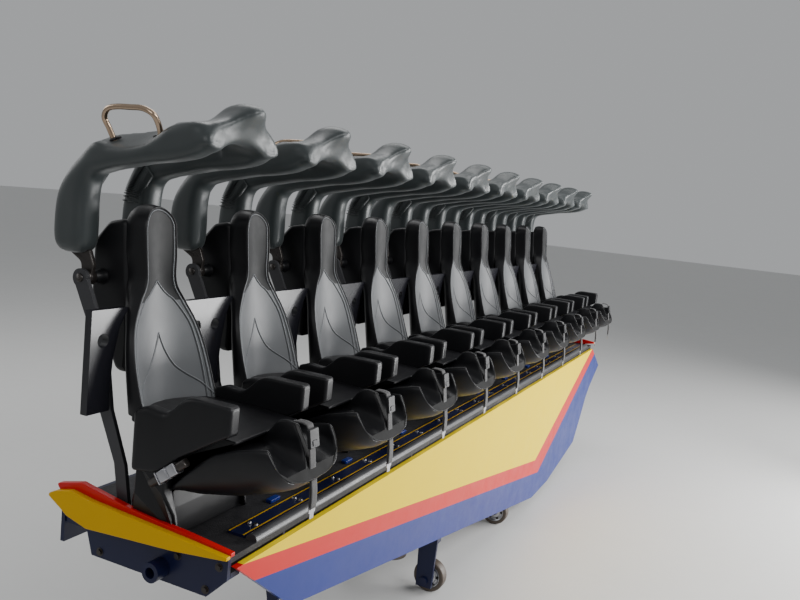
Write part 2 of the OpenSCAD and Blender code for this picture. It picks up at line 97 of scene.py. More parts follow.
class SeatSettings(bpy.types.PropertyGroup):
    shell: colour_value("Shell colour", "Colour of the moulded seat shells", (0.006, 0.006, 0.007))
    inset: colour_value("Inset colour", "Colour of the padded back insets", (0.068, 0.072, 0.077))
    welt_r: length_value("Welt radius", "Radius of the raised lines on the backs", 0.0021, 0.001, 0.005)
    lip: length_value("Lip width", "Width of the black lip round an inset", 0.008, 0.004, 0.02)


class RestraintSettings(bpy.types.PropertyGroup):
    foam: colour_value("Foam colour", "Colour of the restraints' moulded foam", (0.024, 0.030, 0.031))
    voxel: length_value("Blend size", "Grid size with which arms and tail are blended", 0.0083, 0.004, 0.02)
    ribs: bpy.props.IntProperty(
        name="Bellows ribs", description="Ribs along the rear edge of each arm",
        default=30, min=4, max=60)
    handle_d: length_value("Handle tube", "Diameter of the grab handles' tube", 0.0205, 0.015, 0.03)


class PaintSettings(bpy.types.PropertyGroup):
    yellow: colour_value("Yellow", "Yellow of the outer fins and of the lines", (0.62, 0.35, 0.0))
    panel: colour_value("Panel yellow", "Yellow of the front panel", (0.82, 0.60, 0.0))
    red: colour_value("Red", "Red of the stripe and the inner fins", (0.60, 0.006, 0.005))
    blue: colour_value("Blue", "Blue of the panel's lower field", (0.010, 0.026, 0.20))
    navy: colour_value("Navy", "Navy of the chassis and the end plates", (0.006, 0.008, 0.032))


class StageSettings(bpy.types.PropertyGroup):
    eye: bpy.props.FloatVectorProperty(
        name="Camera place", description="Where the camera stands",
        subtype="TRANSLATION", unit="LENGTH", default=(-5.127, -2.740, 1.621))
    turn: bpy.props.FloatVectorProperty(
        name="Camera turn", description="Turn of the camera about X, Y and Z",
        subtype="EULER", unit="ROTATION",
        default=tuple(math.radians(a) for a in (82.901, -5.936, -65.079)))
    lens: bpy.props.FloatProperty(
        name="Lens", description="Focal length on a 36 mm wide sensor",
        default=36.0, min=20, max=80)
    floor: colour_value("Floor colour", "Colour of the floor", (0.62, 0.62, 0.61))


# Shapes: lists of points and faces that are put together and moved, then made a mesh

def smooth_rows(table, steps):
    """Rows of a station table with smoothly interpolated rows between them."""
    rows = np.array(table, float)
    padded = np.vstack([2 * rows[0] - rows[1], rows, 2 * rows[-1] - rows[-2]])
    made = []
    for k in range(len(rows) - 1):
        a, b, c, d = padded[k:k + 4]
        for t in np.arange(steps) / steps:
            made.append(0.5 * (2 * b + (c - a) * t + (2 * a - 5 * b + 4 * c - d) * t ** 2
                               + (3 * b - a - 3 * c + d) * t ** 3))
    made.append(rows[-1])
    return np.array(made)


def rounded(corners, steps=5):
    """A closed outline of (a, b, radius) corners with its corners made arcs."""
    points = []
    count = len(corners)
    for i, (a, b, radius) in enumerate(corners):
        here = np.array([a, b], float)
        before = np.array(corners[i - 1][:2], float) - here
        after = np.array(corners[(i + 1) % count][:2], float) - here
        la, lb = np.linalg.norm(before), np.linalg.norm(after)
        before, after = before / la, after / lb
        half = math.acos(np.clip(before @ after, -1, 1)) / 2
        if radius <= 0 or half > math.radians(88):
            points.append(here)
            continue
        cut = min(radius / math.tan(half), 0.48 * la, 0.48 * lb)
        start, end = here + before * cut, here + after * cut
        for t in np.arange(steps + 1) / steps:
            points.append((1 - t) ** 2 * start + 2 * t * (1 - t) * here + t ** 2 * end)
    return np.array(points)


def oblong(left, low, right, high, radius=0.0, steps=5):
    """A rectangle's outline with rounded corners."""
    return rounded([(left, low, radius), (right, low, radius), (right, high, radius), (left, high, radius)],
                   steps)


def inward(outline, depth):
    """A counterclockwise outline moved inwards."""
    ahead = np.roll(outline, -1, 0) - outline
    ahead /= np.linalg.norm(ahead, axis=1)[:, None] + 1e-12
    behind = np.roll(ahead, 1, 0)
    normal = np.stack([-(ahead + behind)[:, 1], (ahead + behind)[:, 0]], 1)
    length = np.linalg.norm(normal, axis=1)[:, None]
    return outline + normal / (length + 1e-9) * np.minimum(2 / (length + 1e-9), 1.4) * depth


def placed(name, data):
    """A new object of the scene."""
    made = bpy.data.objects.new(name, data)
    bpy.context.scene.collection.objects.link(made)
    return made


class Shape:
    """Points, faces and each face's material number."""

    def __init__(self):
        self.points = np.zeros((0, 3))
        self.faces = []
        self.paints = []

    def add(self, points, faces, paint=0):
        start = len(self.points)
        self.points = np.vstack([self.points, np.array(points, float).reshape(-1, 3)])
        self.faces += [tuple(start + k for k in face) for face in faces]
        self.paints += list(paint) if hasattr(paint, "__len__") else [paint] * len(faces)
        return self

    def join(self, *others):
        for other in others:
            self.add(other.points, other.faces, other.paints)
        return self

    def moved(self, x=0.0, y=0.0, z=0.0):
        return Shape().add(self.points + np.array([x, y, z]), self.faces, self.paints)

    def turned(self, matrix):
        return Shape().add(self.points @ np.array(matrix.to_3x3()).T, self.faces, self.paints)

    def mirrored(self):
        return Shape().add(self.points * [-1, 1, 1], [face[::-1] for face in self.faces], self.paints)

    def both(self):
        return Shape().join(self, self.mirrored())

    def repeated(self, places):
        made = Shape()
        for x in places:
            made.join(self.moved(x))
        return made

    def mesh(self, name, *materials):
        """The shape, given in the row frame, as a new object in the model's frame."""
        data = bpy.data.meshes.new(name)
        points = self.points + np.array([0, ROW_Y, ROW_Z])
        data.from_pydata(points.tolist(), [], self.faces)
        for material in materials:
            data.materials.append(material)
        data.polygons.foreach_set("material_index", self.paints)
        data.polygons.foreach_set("use_smooth", [len(face) <= 4 for face in self.faces])
        data.update()
        return placed(name, data)


def skin(rings, closed=True, paint=0):
    """Faces over rows of equally many points: closed rings with their ends closed, or an open sheet."""
    rings = np.array(rings, float)
    count, width = rings.shape[:2]
    faces = []
    for r in range(count - 1):
        for c in range(width if closed else width - 1):
            d = (c + 1) % width
            faces.append((r * width + c, r * width + d, (r + 1) * width + d, (r + 1) * width + c))
    if closed:
        faces.append(tuple(range(width))[::-1])
        faces.append(tuple((count - 1) * width + c for c in range(width)))
    return Shape().add(rings.reshape(-1, 3), faces, paint)


def slab(outline, low, high, edge, axis="x", paint=0, steps=4):
    """An outline made as thick as low to high along an axis, with rounded edges."""
    outline = np.array(outline, float)
    following = np.roll(outline, -1, 0)
    area = 0.5 * np.sum(outline[:, 0] * following[:, 1] - following[:, 0] * outline[:, 1])
    if area < 0:
        outline = outline[::-1]
    levels = [(edge + 0.0004, 0.0)]
    for k in range(steps + 1):
        angle = math.radians(90 * k / steps)
        levels.append((edge * (1 - math.sin(angle)), edge * (1 - math.cos(angle))))
    rings = [(inward(outline, depth), low + rise) for depth, rise in levels]
    rings += [(inward(outline, depth), high - rise) for depth, rise in levels[::-1]]
    stacked = []
    for flat, level in rings:
        three = np.column_stack([flat, np.full(len(flat), level)])
        order = {"x": [2, 0, 1], "y": [0, 2, 1], "z": [0, 1, 2]}[axis]
        stacked.append(three[:, order])
    made = skin(stacked, paint=paint)
    if axis == "y":
        made.faces = [face[::-1] for face in made.faces]
    return made


def tube(path, radius, sides=10, paint=0):
    """A round tube along a path, with closed ends."""
    path = np.array(path, float)
    ahead = np.gradient(path, axis=0)
    ahead /= np.linalg.norm(ahead, axis=1)[:, None]
    side = np.cross(ahead[0], [0.31, 0.17, 0.93])
    angles = 2 * math.pi * np.arange(sides) / sides
    rings = []
    for place, along_path in zip(path, ahead):
        side = side - along_path * (side @ along_path)
        side /= np.linalg.norm(side)
        other = np.cross(along_path, side)
        rings.append(place + radius * (np.cos(angles)[:, None] * side + np.sin(angles)[:, None] * other))
    return skin(rings, paint=paint)


def revolve(profile, axis="x", sides=32, paint=0):
    """A profile of (radius, height) points turned about an axis through the origin."""
    rings = []
    angles = 2 * math.pi * np.arange(sides) / sides
    for radius, height in profile:
        flat = np.stack([radius * np.cos(angles), radius * np.sin(angles), np.full(sides, height)], 1)
        rings.append(flat[:, {"x": [2, 0, 1], "y": [1, 2, 0], "z": [0, 1, 2]}[axis]])
    return skin(rings, paint=paint)


def on_root(made, *nodes, slot=None):
    """Sets a finished piece on the car's body, in place of CAD nodes."""
    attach(made, "root")
    if nodes:
        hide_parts(*nodes)
    return made


# Materials: small node groups for what the finishes share, then a table of the finishes

def new_group(name, inputs, outputs):
    group = bpy.data.node_groups.new(name, "ShaderNodeTree")
    for label, kind, default in inputs:
        socket = group.interface.new_socket(name=label, in_out="INPUT", socket_type=kind)
        if default is not None:
            socket.default_value = default
    for label, kind in outputs:
        group.interface.new_socket(name=label, in_out="OUTPUT", socket_type=kind)
    return group, group.nodes.new("NodeGroupInput"), group.nodes.new("NodeGroupOutput")


def wire(tree, *pairs):
    """Links outputs to inputs."""
    for output, socket in pairs:
        tree.links.new(output, socket)


def mottle_group():
    """Drift between two colours over the surface."""
    group, source, result = new_group(
        "Colour drift",
        [("Vector", "NodeSocketVector", None), ("Scale", "NodeSocketFloat", 5.0),
         ("Colour", "NodeSocketColor", (0.5, 0.5, 0.5, 1)),
         ("Other", "NodeSocketColor", (0.4, 0.4, 0.4, 1))],
        [("Colour", "NodeSocketColor")])
    noise = group.nodes.new("ShaderNodeTexNoise")
    noise.inputs["Detail"].default_value = 6.0
    noise.inputs["Roughness"].default_value = 0.62
    mix = group.nodes.new("ShaderNodeMix")
    mix.data_type = "RGBA"
    wire(group,
         (source.outputs["Vector"], noise.inputs["Vector"]),
         (source.outputs["Scale"], noise.inputs["Scale"]),
         (noise.outputs["Fac"], mix.inputs["Factor"]),
         (source.outputs["Colour"], mix.inputs["A"]),
         (source.outputs["Other"], mix.inputs["B"]),
         (mix.outputs["Result"], result.inputs["Colour"]))
    return group


def scuff_group():
    """Roughness that rises in soft rubbed patches and fine scratches."""
    group, source, result = new_group(
        "Rubbed patches",
        [("Vector", "NodeSocketVector", None), ("Scale", "NodeSocketFloat", 8.0),
         ("Smooth", "NodeSocketFloat", 0.25), ("Rough", "NodeSocketFloat", 0.45)],
        [("Roughness", "NodeSocketFloat"), ("Mask", "NodeSocketFloat")])
    noise = group.nodes.new("ShaderNodeTexNoise")
    noise.inputs["Detail"].default_value = 8.0
    noise.inputs["Roughness"].default_value = 0.7
    spread = group.nodes.new("ShaderNodeMapRange")
    spread.inputs["From Min"].default_value = 0.38
    spread.inputs["From Max"].default_value = 0.66
    wire(group,
         (source.outputs["Vector"], noise.inputs["Vector"]),
         (source.outputs["Scale"], noise.inputs["Scale"]),
         (noise.outputs["Fac"], spread.inputs["Value"]),
         (source.outputs["Smooth"], spread.inputs["To Min"]),
         (source.outputs["Rough"], spread.inputs["To Max"]),
         (spread.outputs["Result"], result.inputs["Roughness"]),
         (noise.outputs["Fac"], result.inputs["Mask"]))
    return group


def grain_group():
    """Moulded grain: a fine pebble height over a slow waviness."""
    group, source, result = new_group(
        "Moulded grain",
        [("Vector", "NodeSocketVector", None), ("Scale", "NodeSocketFloat", 400.0),
         ("Wave", "NodeSocketFloat", 0.3)],
        [("Height", "NodeSocketFloat")])
    cells = group.nodes.new("ShaderNodeTexVoronoi")
    wave = group.nodes.new("ShaderNodeTexNoise")
    wave.inputs["Scale"].default_value = 14.0
    blend = group.nodes.new("ShaderNodeMath")
    blend.operation = "MULTIPLY_ADD"
    wire(group,
         (source.outputs["Vector"], cells.inputs["Vector"]),
         (source.outputs["Scale"], cells.inputs["Scale"]),
         (source.outputs["Vector"], wave.inputs["Vector"]),
         (wave.outputs["Fac"], blend.inputs[0]),
         (source.outputs["Wave"], blend.inputs[1]),
         (cells.outputs["Distance"], blend.inputs[2]),
         (blend.outputs["Value"], result.inputs["Height"]))
    return group


GROUPS = {}


def shared(name):
    """A shared node group, built the first time it is asked for."""
    makers = {"drift": mottle_group, "rubbed": scuff_group, "grain": grain_group}
    if name not in GROUPS:
        GROUPS[name] = makers[name]()
    return GROUPS[name]


def finish(name, colour, other, rough=(0.3, 0.45), drift=4.0, patches=7.0, grain=(350.0, 0.4),
           bump=(0.15, 0.0006), **sockets):
    """A material of drifting colour, rubbed patches and grain, with plain values in its other sockets."""
    material = bpy.data.materials.new(name)
    material.use_nodes = True
    tree = material.node_tree
    shader = tree.nodes["Principled BSDF"]
    place = tree.nodes.new("ShaderNodeTexCoord").outputs["Object"]

    def group(kind, values):
        node = tree.nodes.new("ShaderNodeGroup")
        node.node_tree = shared(kind)
        tree.links.new(place, node.inputs["Vector"])
        for key, value in values.items():
            node.inputs[key].default_value = value
        return node

    colours = group("drift", {"Scale": drift, "Colour": (*colour, 1), "Other": (*other, 1)})
    tree.links.new(colours.outputs["Colour"], shader.inputs["Base Color"])
    patch = group("rubbed", {"Scale": patches, "Smooth": rough[0], "Rough": rough[1]})
    tree.links.new(patch.outputs["Roughness"], shader.inputs["Roughness"])
    height = group("grain", {"Scale": grain[0], "Wave": grain[1]})
    bumps = tree.nodes.new("ShaderNodeBump")
    bumps.inputs["Strength"].default_value = bump[0]
    bumps.inputs["Distance"].default_value = bump[1]
    tree.links.new(height.outputs["Height"], bumps.inputs["Height"])
    tree.links.new(bumps.outputs["Normal"], shader.inputs["Normal"])
    for key, value in sockets.items():
        shader.inputs[key.replace("_", " ")].default_value = value
    return material


def lighter(colour, factor):
    return tuple(min(1.0, c * factor) for c in colour)


MATERIALS = {}


def material(name):
    """One of the car's finishes, made once."""
    if name not in MATERIALS:
        MATERIALS[name] = FINISHES[name](name)
    return MATERIALS[name]


def seat_settings():
    return bpy.context.scene.coaster_seats


def paint_settings():
    return bpy.context.scene.coaster_paint


def tinted(name, colour, factor, **values):
    """A finish that drifts between a colour and a lighter or darker one of the same hue."""
    return finish(name, colour, lighter(colour, factor), **values)


def head_painted_shade(name):
    """The head part of the insets: the inset's grey made much darker than their leaf, painted shade."""
    return tinted(name, lighter(seat_settings().inset, 0.13), 1.2, rough=(0.48, 0.60), grain=(420, 0.25),
                  bump=(0.1, 0.0004), Specular_IOR_Level=0.24)


def gloss(name, colour, spread=0.82, shine=0.25):
    """Gloss paint."""
    return tinted(name, colour, spread, rough=(0.28, 0.40), drift=2.0, grain=(160, 0.5),
                  bump=(0.06, 0.0004), Specular_IOR_Level=shine, Coat_Weight=0.05, Coat_Roughness=0.12)


FINISHES = {
    "shell_black": lambda name: tinted(
        name, seat_settings().shell, 1.6, rough=(0.33, 0.44), grain=(520, 0.3), bump=(0.03, 0.0003),
        Specular_IOR_Level=0.27),
    "inset_grey": lambda name: tinted(
        name, seat_settings().inset, 1.18, rough=(0.36, 0.50), drift=9.0, grain=(420, 0.25),
        bump=(0.12, 0.0004), Sheen_Weight=0.15),
    "head_painted_shade": head_painted_shade,
    # The welts' grey: the inset's grey made lighter, a painted highlight.
    "welt_painted_highlight": lambda name: tinted(name, lighter(seat_settings().inset, 1.8), 0.9, rough=(0.3, 0.42)),
    "restraint_foam": lambda name: tinted(
        name, bpy.context.scene.coaster_restraints.foam, 1.35, rough=(0.32, 0.46), drift=6.0,
        grain=(300, 0.8), bump=(0.18, 0.0006), Sheen_Weight=0.1),
    "warm_chrome": lambda name: finish(
        name, (0.50, 0.38, 0.27), (0.36, 0.26, 0.19), rough=(0.14, 0.26), patches=22,
        bump=(0.04, 0.0003), Metallic=1.0),
    "dark_steel": lambda name: finish(
        name, (0.030, 0.026, 0.024), (0.055, 0.048, 0.045), rough=(0.26, 0.44), Metallic=0.55),
    "bright_steel": lambda name: finish(
        name, (0.46, 0.46, 0.48), (0.36, 0.36, 0.38), rough=(0.22, 0.42), Metallic=1.0),
    "matt_black": lambda name: finish(
        name, (0.006, 0.006, 0.006), (0.012, 0.012, 0.012), rough=(0.60, 0.72), Specular_IOR_Level=0.12),
    "rail_grey": lambda name: finish(
        name, (0.035, 0.035, 0.038), (0.055, 0.055, 0.058), rough=(0.30, 0.42), grain=(300, 0.5),
        bump=(0.01, 0.0002), Specular_IOR_Level=0.4),
    "deck_black": lambda name: finish(
        name, (0.018, 0.018, 0.021), (0.045, 0.044, 0.046), rough=(0.45, 0.75), drift=22,
        grain=(180, 0.5), bump=(0.6, 0.0015), Specular_IOR_Level=0.18),
    "webbing_grey": lambda name: finish(
        name, (0.022, 0.021, 0.022), (0.042, 0.040, 0.041), rough=(0.62, 0.8), drift=60,
        grain=(700, 0.1), bump=(0.5, 0.0008), Sheen_Weight=0.1),
    "buckle_black": lambda name: finish(
        name, (0.012, 0.012, 0.013), (0.02, 0.02, 0.022), rough=(0.46, 0.60), Specular_IOR_Level=0.3),
    "wheel_tyre": lambda name: finish(
        name, (0.055, 0.040, 0.028), (0.080, 0.060, 0.045), rough=(0.42, 0.62), drift=18),
    "yellow_paint": lambda name: gloss(name, paint_settings().yellow, 0.93, 0.12),
    "panel_yellow": lambda name: gloss(name, paint_settings().panel, 0.95, 0.05),
    "red_paint": lambda name: gloss(name, paint_settings().red),
    "blue_paint": lambda name: gloss(name, paint_settings().blue),
    "navy_paint": lambda name: gloss(name, paint_settings().navy, 1.5),
}


def dress(finish_name, *nodes):
    """Gives CAD nodes a finish."""
    for node in nodes:
        data = frame["nodes"][node].data
        data.materials.clear()
        data.materials.append(material(finish_name))


# Geometry Nodes: copies along a line, and ribs round an arc

class Tree:
    """A Geometry Nodes tree with named inputs."""

    def __init__(self, name, inputs):
        self.tree = bpy.data.node_groups.new(name, "GeometryNodeTree")
        self.ids = {}
        for label, kind, default in inputs:
            socket = self.tree.interface.new_socket(name=label, in_out="INPUT", socket_type=kind)
            if default is not None:
                socket.default_value = default
            self.ids[label] = socket.identifier
        self.tree.interface.new_socket(name="Geometry", in_out="OUTPUT", socket_type="NodeSocketGeometry")
        self.source = self.tree.nodes.new("NodeGroupInput")
        self.result = self.tree.nodes.new("NodeGroupOutput")

    def node(self, kind, links=None, **settings):
        made = self.tree.nodes.new(kind)
        for key, value in settings.items():
            setattr(made, key, value)
        for key, value in (links or {}).items():
            socket = made.inputs[key]
            if isinstance(value, bpy.types.NodeSocket):
                self.tree.links.new(value, socket)
            elif value in self.ids:
                self.tree.links.new(self.source.outputs[value], socket)
            else:
                socket.default_value = value
        return made.outputs


def bolt_tree():
    """Hexagon bolts on washers at a carrier mesh's points, turned to each point's normal."""
    tree = Tree("Bolts on points", [
        ("Geometry", "NodeSocketGeometry", None), ("Across", "NodeSocketFloat", 0.018),
        ("Height", "NodeSocketFloat", 0.008), ("Material", "NodeSocketMaterial", None)])
    head = tree.node("GeometryNodeMeshCylinder", {"Vertices": 6, "Radius": "Across", "Depth": "Height"})
    lift = tree.node("ShaderNodeMath", {0: "Height", 1: 0.7}, operation="MULTIPLY")[0]
    up = tree.node("ShaderNodeCombineXYZ", {"Z": lift})[0]
    raised = tree.node("GeometryNodeTransform", {"Geometry": head["Mesh"], "Translation": up})[0]
    wide = tree.node("ShaderNodeMath", {0: "Across", 1: 1.45}, operation="MULTIPLY")[0]
    thin = tree.node("ShaderNodeMath", {0: "Height", 1: 0.4}, operation="MULTIPLY")[0]
    washer = tree.node("GeometryNodeMeshCylinder", {"Vertices": 20, "Radius": wide, "Depth": thin})
    both = tree.node("GeometryNodeJoinGeometry")
    join = tree.tree.nodes[-1]
    tree.tree.links.new(raised, join.inputs[0])
    tree.tree.links.new(washer["Mesh"], join.inputs[0])
    normal = tree.node("GeometryNodeInputNamedAttribute", {"Name": "away"}, data_type="FLOAT_VECTOR")
    turn = tree.node("FunctionNodeAlignRotationToVector", {"Vector": normal["Attribute"]}, axis="Z")[0]
    spots = tree.node("GeometryNodeMeshToPoints", {"Mesh": "Geometry"})[0]
    copies = tree.node("GeometryNodeInstanceOnPoints", {
        "Points": spots, "Instance": both["Geometry"], "Rotation": turn})[0]
    solid = tree.node("GeometryNodeRealizeInstances", {"Geometry": copies})[0]
    painted = tree.node("GeometryNodeSetMaterial", {"Geometry": solid, "Material": "Material"})[0]
    tree.tree.links.new(painted, tree.result.inputs[0])
    return tree


def rib_tree():
    """Rounded ribs on a carrier mesh's points, laid across and standing out as its attributes say."""
    tree = Tree("Ribs on points", [
        ("Geometry", "NodeSocketGeometry", None), ("Size", "NodeSocketVector", (0.03, 0.004, 0.006)),
        ("Material", "NodeSocketMaterial", None)])
    ball = tree.node("GeometryNodeMeshUVSphere", {"Segments": 8, "Rings": 6, "Radius": 1.0})["Mesh"]
    rib = tree.node("GeometryNodeTransform", {"Geometry": ball, "Scale": "Size"})[0]
    away = tree.node("GeometryNodeInputNamedAttribute", {"Name": "away"}, data_type="FLOAT_VECTOR")
    across = tree.node("GeometryNodeInputNamedAttribute", {"Name": "across"}, data_type="FLOAT_VECTOR")
    laid = tree.node("FunctionNodeAlignRotationToVector", {"Vector": across["Attribute"]}, axis="X")[0]
    turn = tree.node("FunctionNodeAlignRotationToVector", {"Rotation": laid, "Vector": away["Attribute"]},
                     axis="Z", pivot_axis="X")[0]
    spots = tree.node("GeometryNodeMeshToPoints", {"Mesh": "Geometry"})[0]
    copies = tree.node("GeometryNodeInstanceOnPoints", {
        "Points": spots, "Instance": rib, "Rotation": turn})[0]
    solid = tree.node("GeometryNodeRealizeInstances", {"Geometry": copies})[0]
    smooth = tree.node("GeometryNodeSetShadeSmooth", {"Geometry": solid})[0]
    painted = tree.node("GeometryNodeSetMaterial", {"Geometry": smooth, "Material": "Material"})[0]
    tree.tree.links.new(painted, tree.result.inputs[0])
    return tree


def grown(name, tree, values, points, **directions):
    """A plain mesh object that a tree grows on points given in the model's frame."""
    data = bpy.data.meshes.new(name + "_seed")
    data.from_pydata([tuple(p) for p in points], [], [])
    for label, vectors in directions.items():
        held = data.attributes.new(label, "FLOAT_VECTOR", "POINT")
        held.data.foreach_set("vector", np.array(vectors, float).ravel())
    seed = placed(name + "_seed", data)
    modifier = seed.modifiers.new("Grow", "NODES")
    modifier.node_group = tree.tree
    for label, value in values.items():
        modifier[tree.ids[label]] = value
    bpy.context.view_layer.update()
    evaluated = seed.evaluated_get(bpy.context.evaluated_depsgraph_get())
    mesh = bpy.data.meshes.new_from_object(evaluated)
    mesh.name = name
    bpy.data.objects.remove(seed)
    return placed(name, mesh)


def in_model(x, y, z):
    """A place of the row frame in the model's frame."""
    return (x, y + ROW_Y, z + ROW_Z)


# Seats

# Where the restraints turn
PIVOT_Y = 0.745
PIVOT_Z = 0.325
# Shell of a back, from the pan up: level, half width, front edge, middle, rear of its sides and of its
# middle
BACK_ROWS = [
    (-0.130, 0.204, 0.392, 0.497, 0.476, 0.545),
    (-0.060, 0.207, 0.420, 0.508, 0.484, 0.560),
    (0.060, 0.200, 0.461, 0.525, 0.508, 0.580),
    (0.170, 0.174, 0.497, 0.541, 0.540, 0.606),
    (0.260, 0.124, 0.523, 0.553, 0.600, 0.632),
    (0.330, 0.084, 0.534, 0.560, 0.640, 0.650),
    (0.430, 0.086, 0.542, 0.563, 0.656, 0.660),
    (0.522, 0.086, 0.552, 0.568, 0.658, 0.662),
]
HEAD_R = 0.086
HEAD_Z = 0.522
HEAD_TOP_Y = 0.577
INSET_SINK = 0.004


class BackForm:
    """Where a seat back's surfaces lie."""

    def __init__(self, lip):
        self.lip = lip
        self.rows = smooth_rows(BACK_ROWS, 5)

    def at(self, z):
        """Half width, front edge, middle, rear of the sides and rear of the middle at a level."""
        values = [np.interp(z, self.rows[:, 0], self.rows[:, k]) for k in (1, 2, 3, 4, 5)]
        if z > HEAD_Z:
            share = (z - HEAD_Z) / HEAD_R
            values[0] = HEAD_R * math.sqrt(max(0.0, 1 - share ** 2))
            values[1] += (HEAD_TOP_Y - values[1]) * share ** 2
            values[2] += (HEAD_TOP_Y + 0.004 - values[2]) * share ** 2
        return values

    def front(self, x, z):
        """Y of the inset's surface."""
        half, edge, middle, _, _ = self.at(z)
        inside = max(half - self.lip, 0.012)
        return edge + INSET_SINK + (middle - edge - INSET_SINK) * (1 - min(1.0, abs(x) / inside) ** 2)

    def outline(self, inset, steps=14):
        """(x, z) points up the right side, over the head and down the left side, moved inwards."""
        zs = self.rows[:, 0]
        right = [(self.at(z)[0], z) for z in zs]
        dome = [(HEAD_R * math.cos(a), HEAD_Z + HEAD_R * math.sin(a))
                for a in np.linspace(0, math.pi, 2 * steps + 1)[1:-1]]
        left = [(-x, z) for x, z in right[::-1]]
        path = np.array(right + dome + left)
        ahead = np.gradient(path, axis=0)
        ahead /= np.linalg.norm(ahead, axis=1)[:, None]
        return path + np.stack([-ahead[:, 1], ahead[:, 0]], 1) * inset


def back_shell(form):
    """The black lip, sides and rear of a seat back."""
    # Columns: how far inwards, how far behind the front edge, share of the way to the rear
    section = [(form.lip, INSET_SINK + 0.006, 0.0), (form.lip, INSET_SINK, 0.0),
               (form.lip * 0.75, 0.0012, 0.0), (form.lip * 0.5, 0.0, 0.0), (0.003, 0.0012, 0.0),
               (0.0008, 0.005, 0.0), (0.0, 0.012, 0.0),
               (-0.002, 0.0, 0.35), (-0.002, 0.0, 0.6), (0.002, 0.0, 0.85), (0.008, 0.0, 0.96),
               (0.018, 0.0, 1.0), (0.040, 0.0, 1.0), (0.065, 0.0, 1.0)]
    bands = []
    for inset, behind, share in section:
        path = form.outline(inset)
        band = []
        for x, z in path:
            half, edge, _, side, rear = form.at(min(z, HEAD_Z + HEAD_R - 1e-6))
            bulge = min(1.0, max(0.0, inset) / max(half, 0.03))
            end = side + (rear - side) * (1 - (1 - bulge) ** 2)
            band.append((x, edge + behind + (end - edge - behind) * share, z))
        bands.append(band)
    return skin(bands, closed=False)


# Edge of the leaf on an inset above its straight sides: x and z, up to its point
LEAF_TOP = [(0.082, 0.254), (0.052, 0.276), (0.024, 0.302), (0.0, 0.330)]


def back_inset(form, columns=22, gap=0.006):
    """The padded surface inside the lip: a light leaf below its point, and above it the head part in a much
    darker grey that is painted shade.
    """
    path = form.outline(form.lip + 0.0002)
    side = np.array(along(path[:len(path) // 2 + 1], gap))
    shares = np.linspace(1, -1, columns + 1)
    rows = [[(x * f, form.front(x * f, z), z) for f in shares] for x, z in side]
    made = skin(rows, closed=False, paint=1)
    xs, zs = np.array(LEAF_TOP)[::-1].T
    for k, face in enumerate(made.faces):
        x, _, z = made.points[list(face)].mean(0)
        if z > np.interp(abs(x), xs, zs) and z > LEAF_TOP[0][1]:
            # Faces above the leaf's edge take the darker head grey: painted shade.
            made.paints[k] = 5
    return made


def along(points, gap=0.006):
    """A polyline with points evenly spaced."""
    points = np.array(points, float)
    length = np.concatenate([[0], np.cumsum(np.linalg.norm(np.diff(points, axis=0), axis=1))])
    marks = np.linspace(0, length[-1], max(3, int(length[-1] / gap)))
    return np.stack([np.interp(marks, length, points[:, k]) for k in range(points.shape[1])], 1)


def back_welts(form, radius):
    """Raised lines round the inset, round the leaf and along the low inner peak, in a grey lighter than the
    inset as painted highlight, each with a thin black tube beside it as the painted shade of its groove.
    """
    made = Shape()

    def line(flat, groove_shade_offset=0.0042):
        flat = along(flat)
        # The welt's tube, in the lighter welt grey: painted highlight.
        made.join(tube([(x, form.front(x, z) - radius * 0.2, z) for x, z in flat], radius, sides=8, paint=2))
        ahead = np.gradient(flat, axis=0)
        ahead /= np.linalg.norm(ahead, axis=1)[:, None]
        # A thin black tube just beside the welt: painted shade of the groove.
        beside = flat + np.stack([-ahead[:, 1], ahead[:, 0]], 1) * groove_shade_offset
        made.join(tube([(x, form.front(x, z) + 0.0003, z) for x, z in beside], 0.0014, sides=6, paint=3))

    line(form.outline(form.lip + 0.006))
    side = [(x, z) for x, z in form.outline(form.lip + 0.021)[::4] if z < 0.225 and x > 0]
    leaf = smooth_rows(side + LEAF_TOP, 3)
    peak = smooth_rows([(0.198, -0.108), (0.165, -0.064), (0.118, -0.030), (0.070, 0.008), (0.032, 0.062),
                        (0.012, 0.104), (0.0, 0.136)], 5)
    for half in (leaf, peak):
        line(half)
        line((half * [-1, 1])[::-1])
    return made


def housing():
    """The housing behind the head, with the bosses and pins that carry the restraint's levers."""
    made = slab(rounded([(0.600, -0.02, 0.02), (0.600, 0.10, 0.02), (0.640, 0.555, 0.03),
                         (0.735, 0.535, 0.05), (0.800, 0.460, 0.05), (0.800, 0.26, 0.10),
                         (0.66, -0.02, 0.04)]), -0.088, 0.088, 0.020)
    boss = revolve([(0.034, 0.080), (0.030, 0.092), (0.026, 0.106), (0.024, 0.1345), (0.022, 0.1365),
                    (0.0, 0.1365)], sides=28)
    pin = revolve([(0.0159, 0.130), (0.0159, 0.200), (0.014, 0.202), (0.0, 0.202)], sides=24, paint=4)
    return made.join(*[part.moved(0, PIVOT_Y, PIVOT_Z).both() for part in (boss, pin)])


class COASTER_OT_seat_backs(bpy.types.Operator):
    """Moulded seat backs with grey padded insets, welts, housings and pivot bosses"""
    bl_idname = "coaster.seat_backs"
    bl_label = "Seat backs"

    def execute(self, context):
        settings = seat_settings()
        form = BackForm(settings.lip)
        one = back_shell(form).join(back_inset(form), back_welts(form, settings.welt_r), housing())
        # The last finish here, the head grey, is painted shade; the welt grey is a painted highlight.
        paints = ("shell_black", "inset_grey", "welt_painted_highlight", "buckle_black", "dark_steel", "head_painted_shade")
        made = one.repeated(SEAT_X).mesh("seat_back_shells", *[material(name) for name in paints])
        on_root(made, "seat_backs", "back_insets", slot="seat_black")
        return {"FINISHED"}


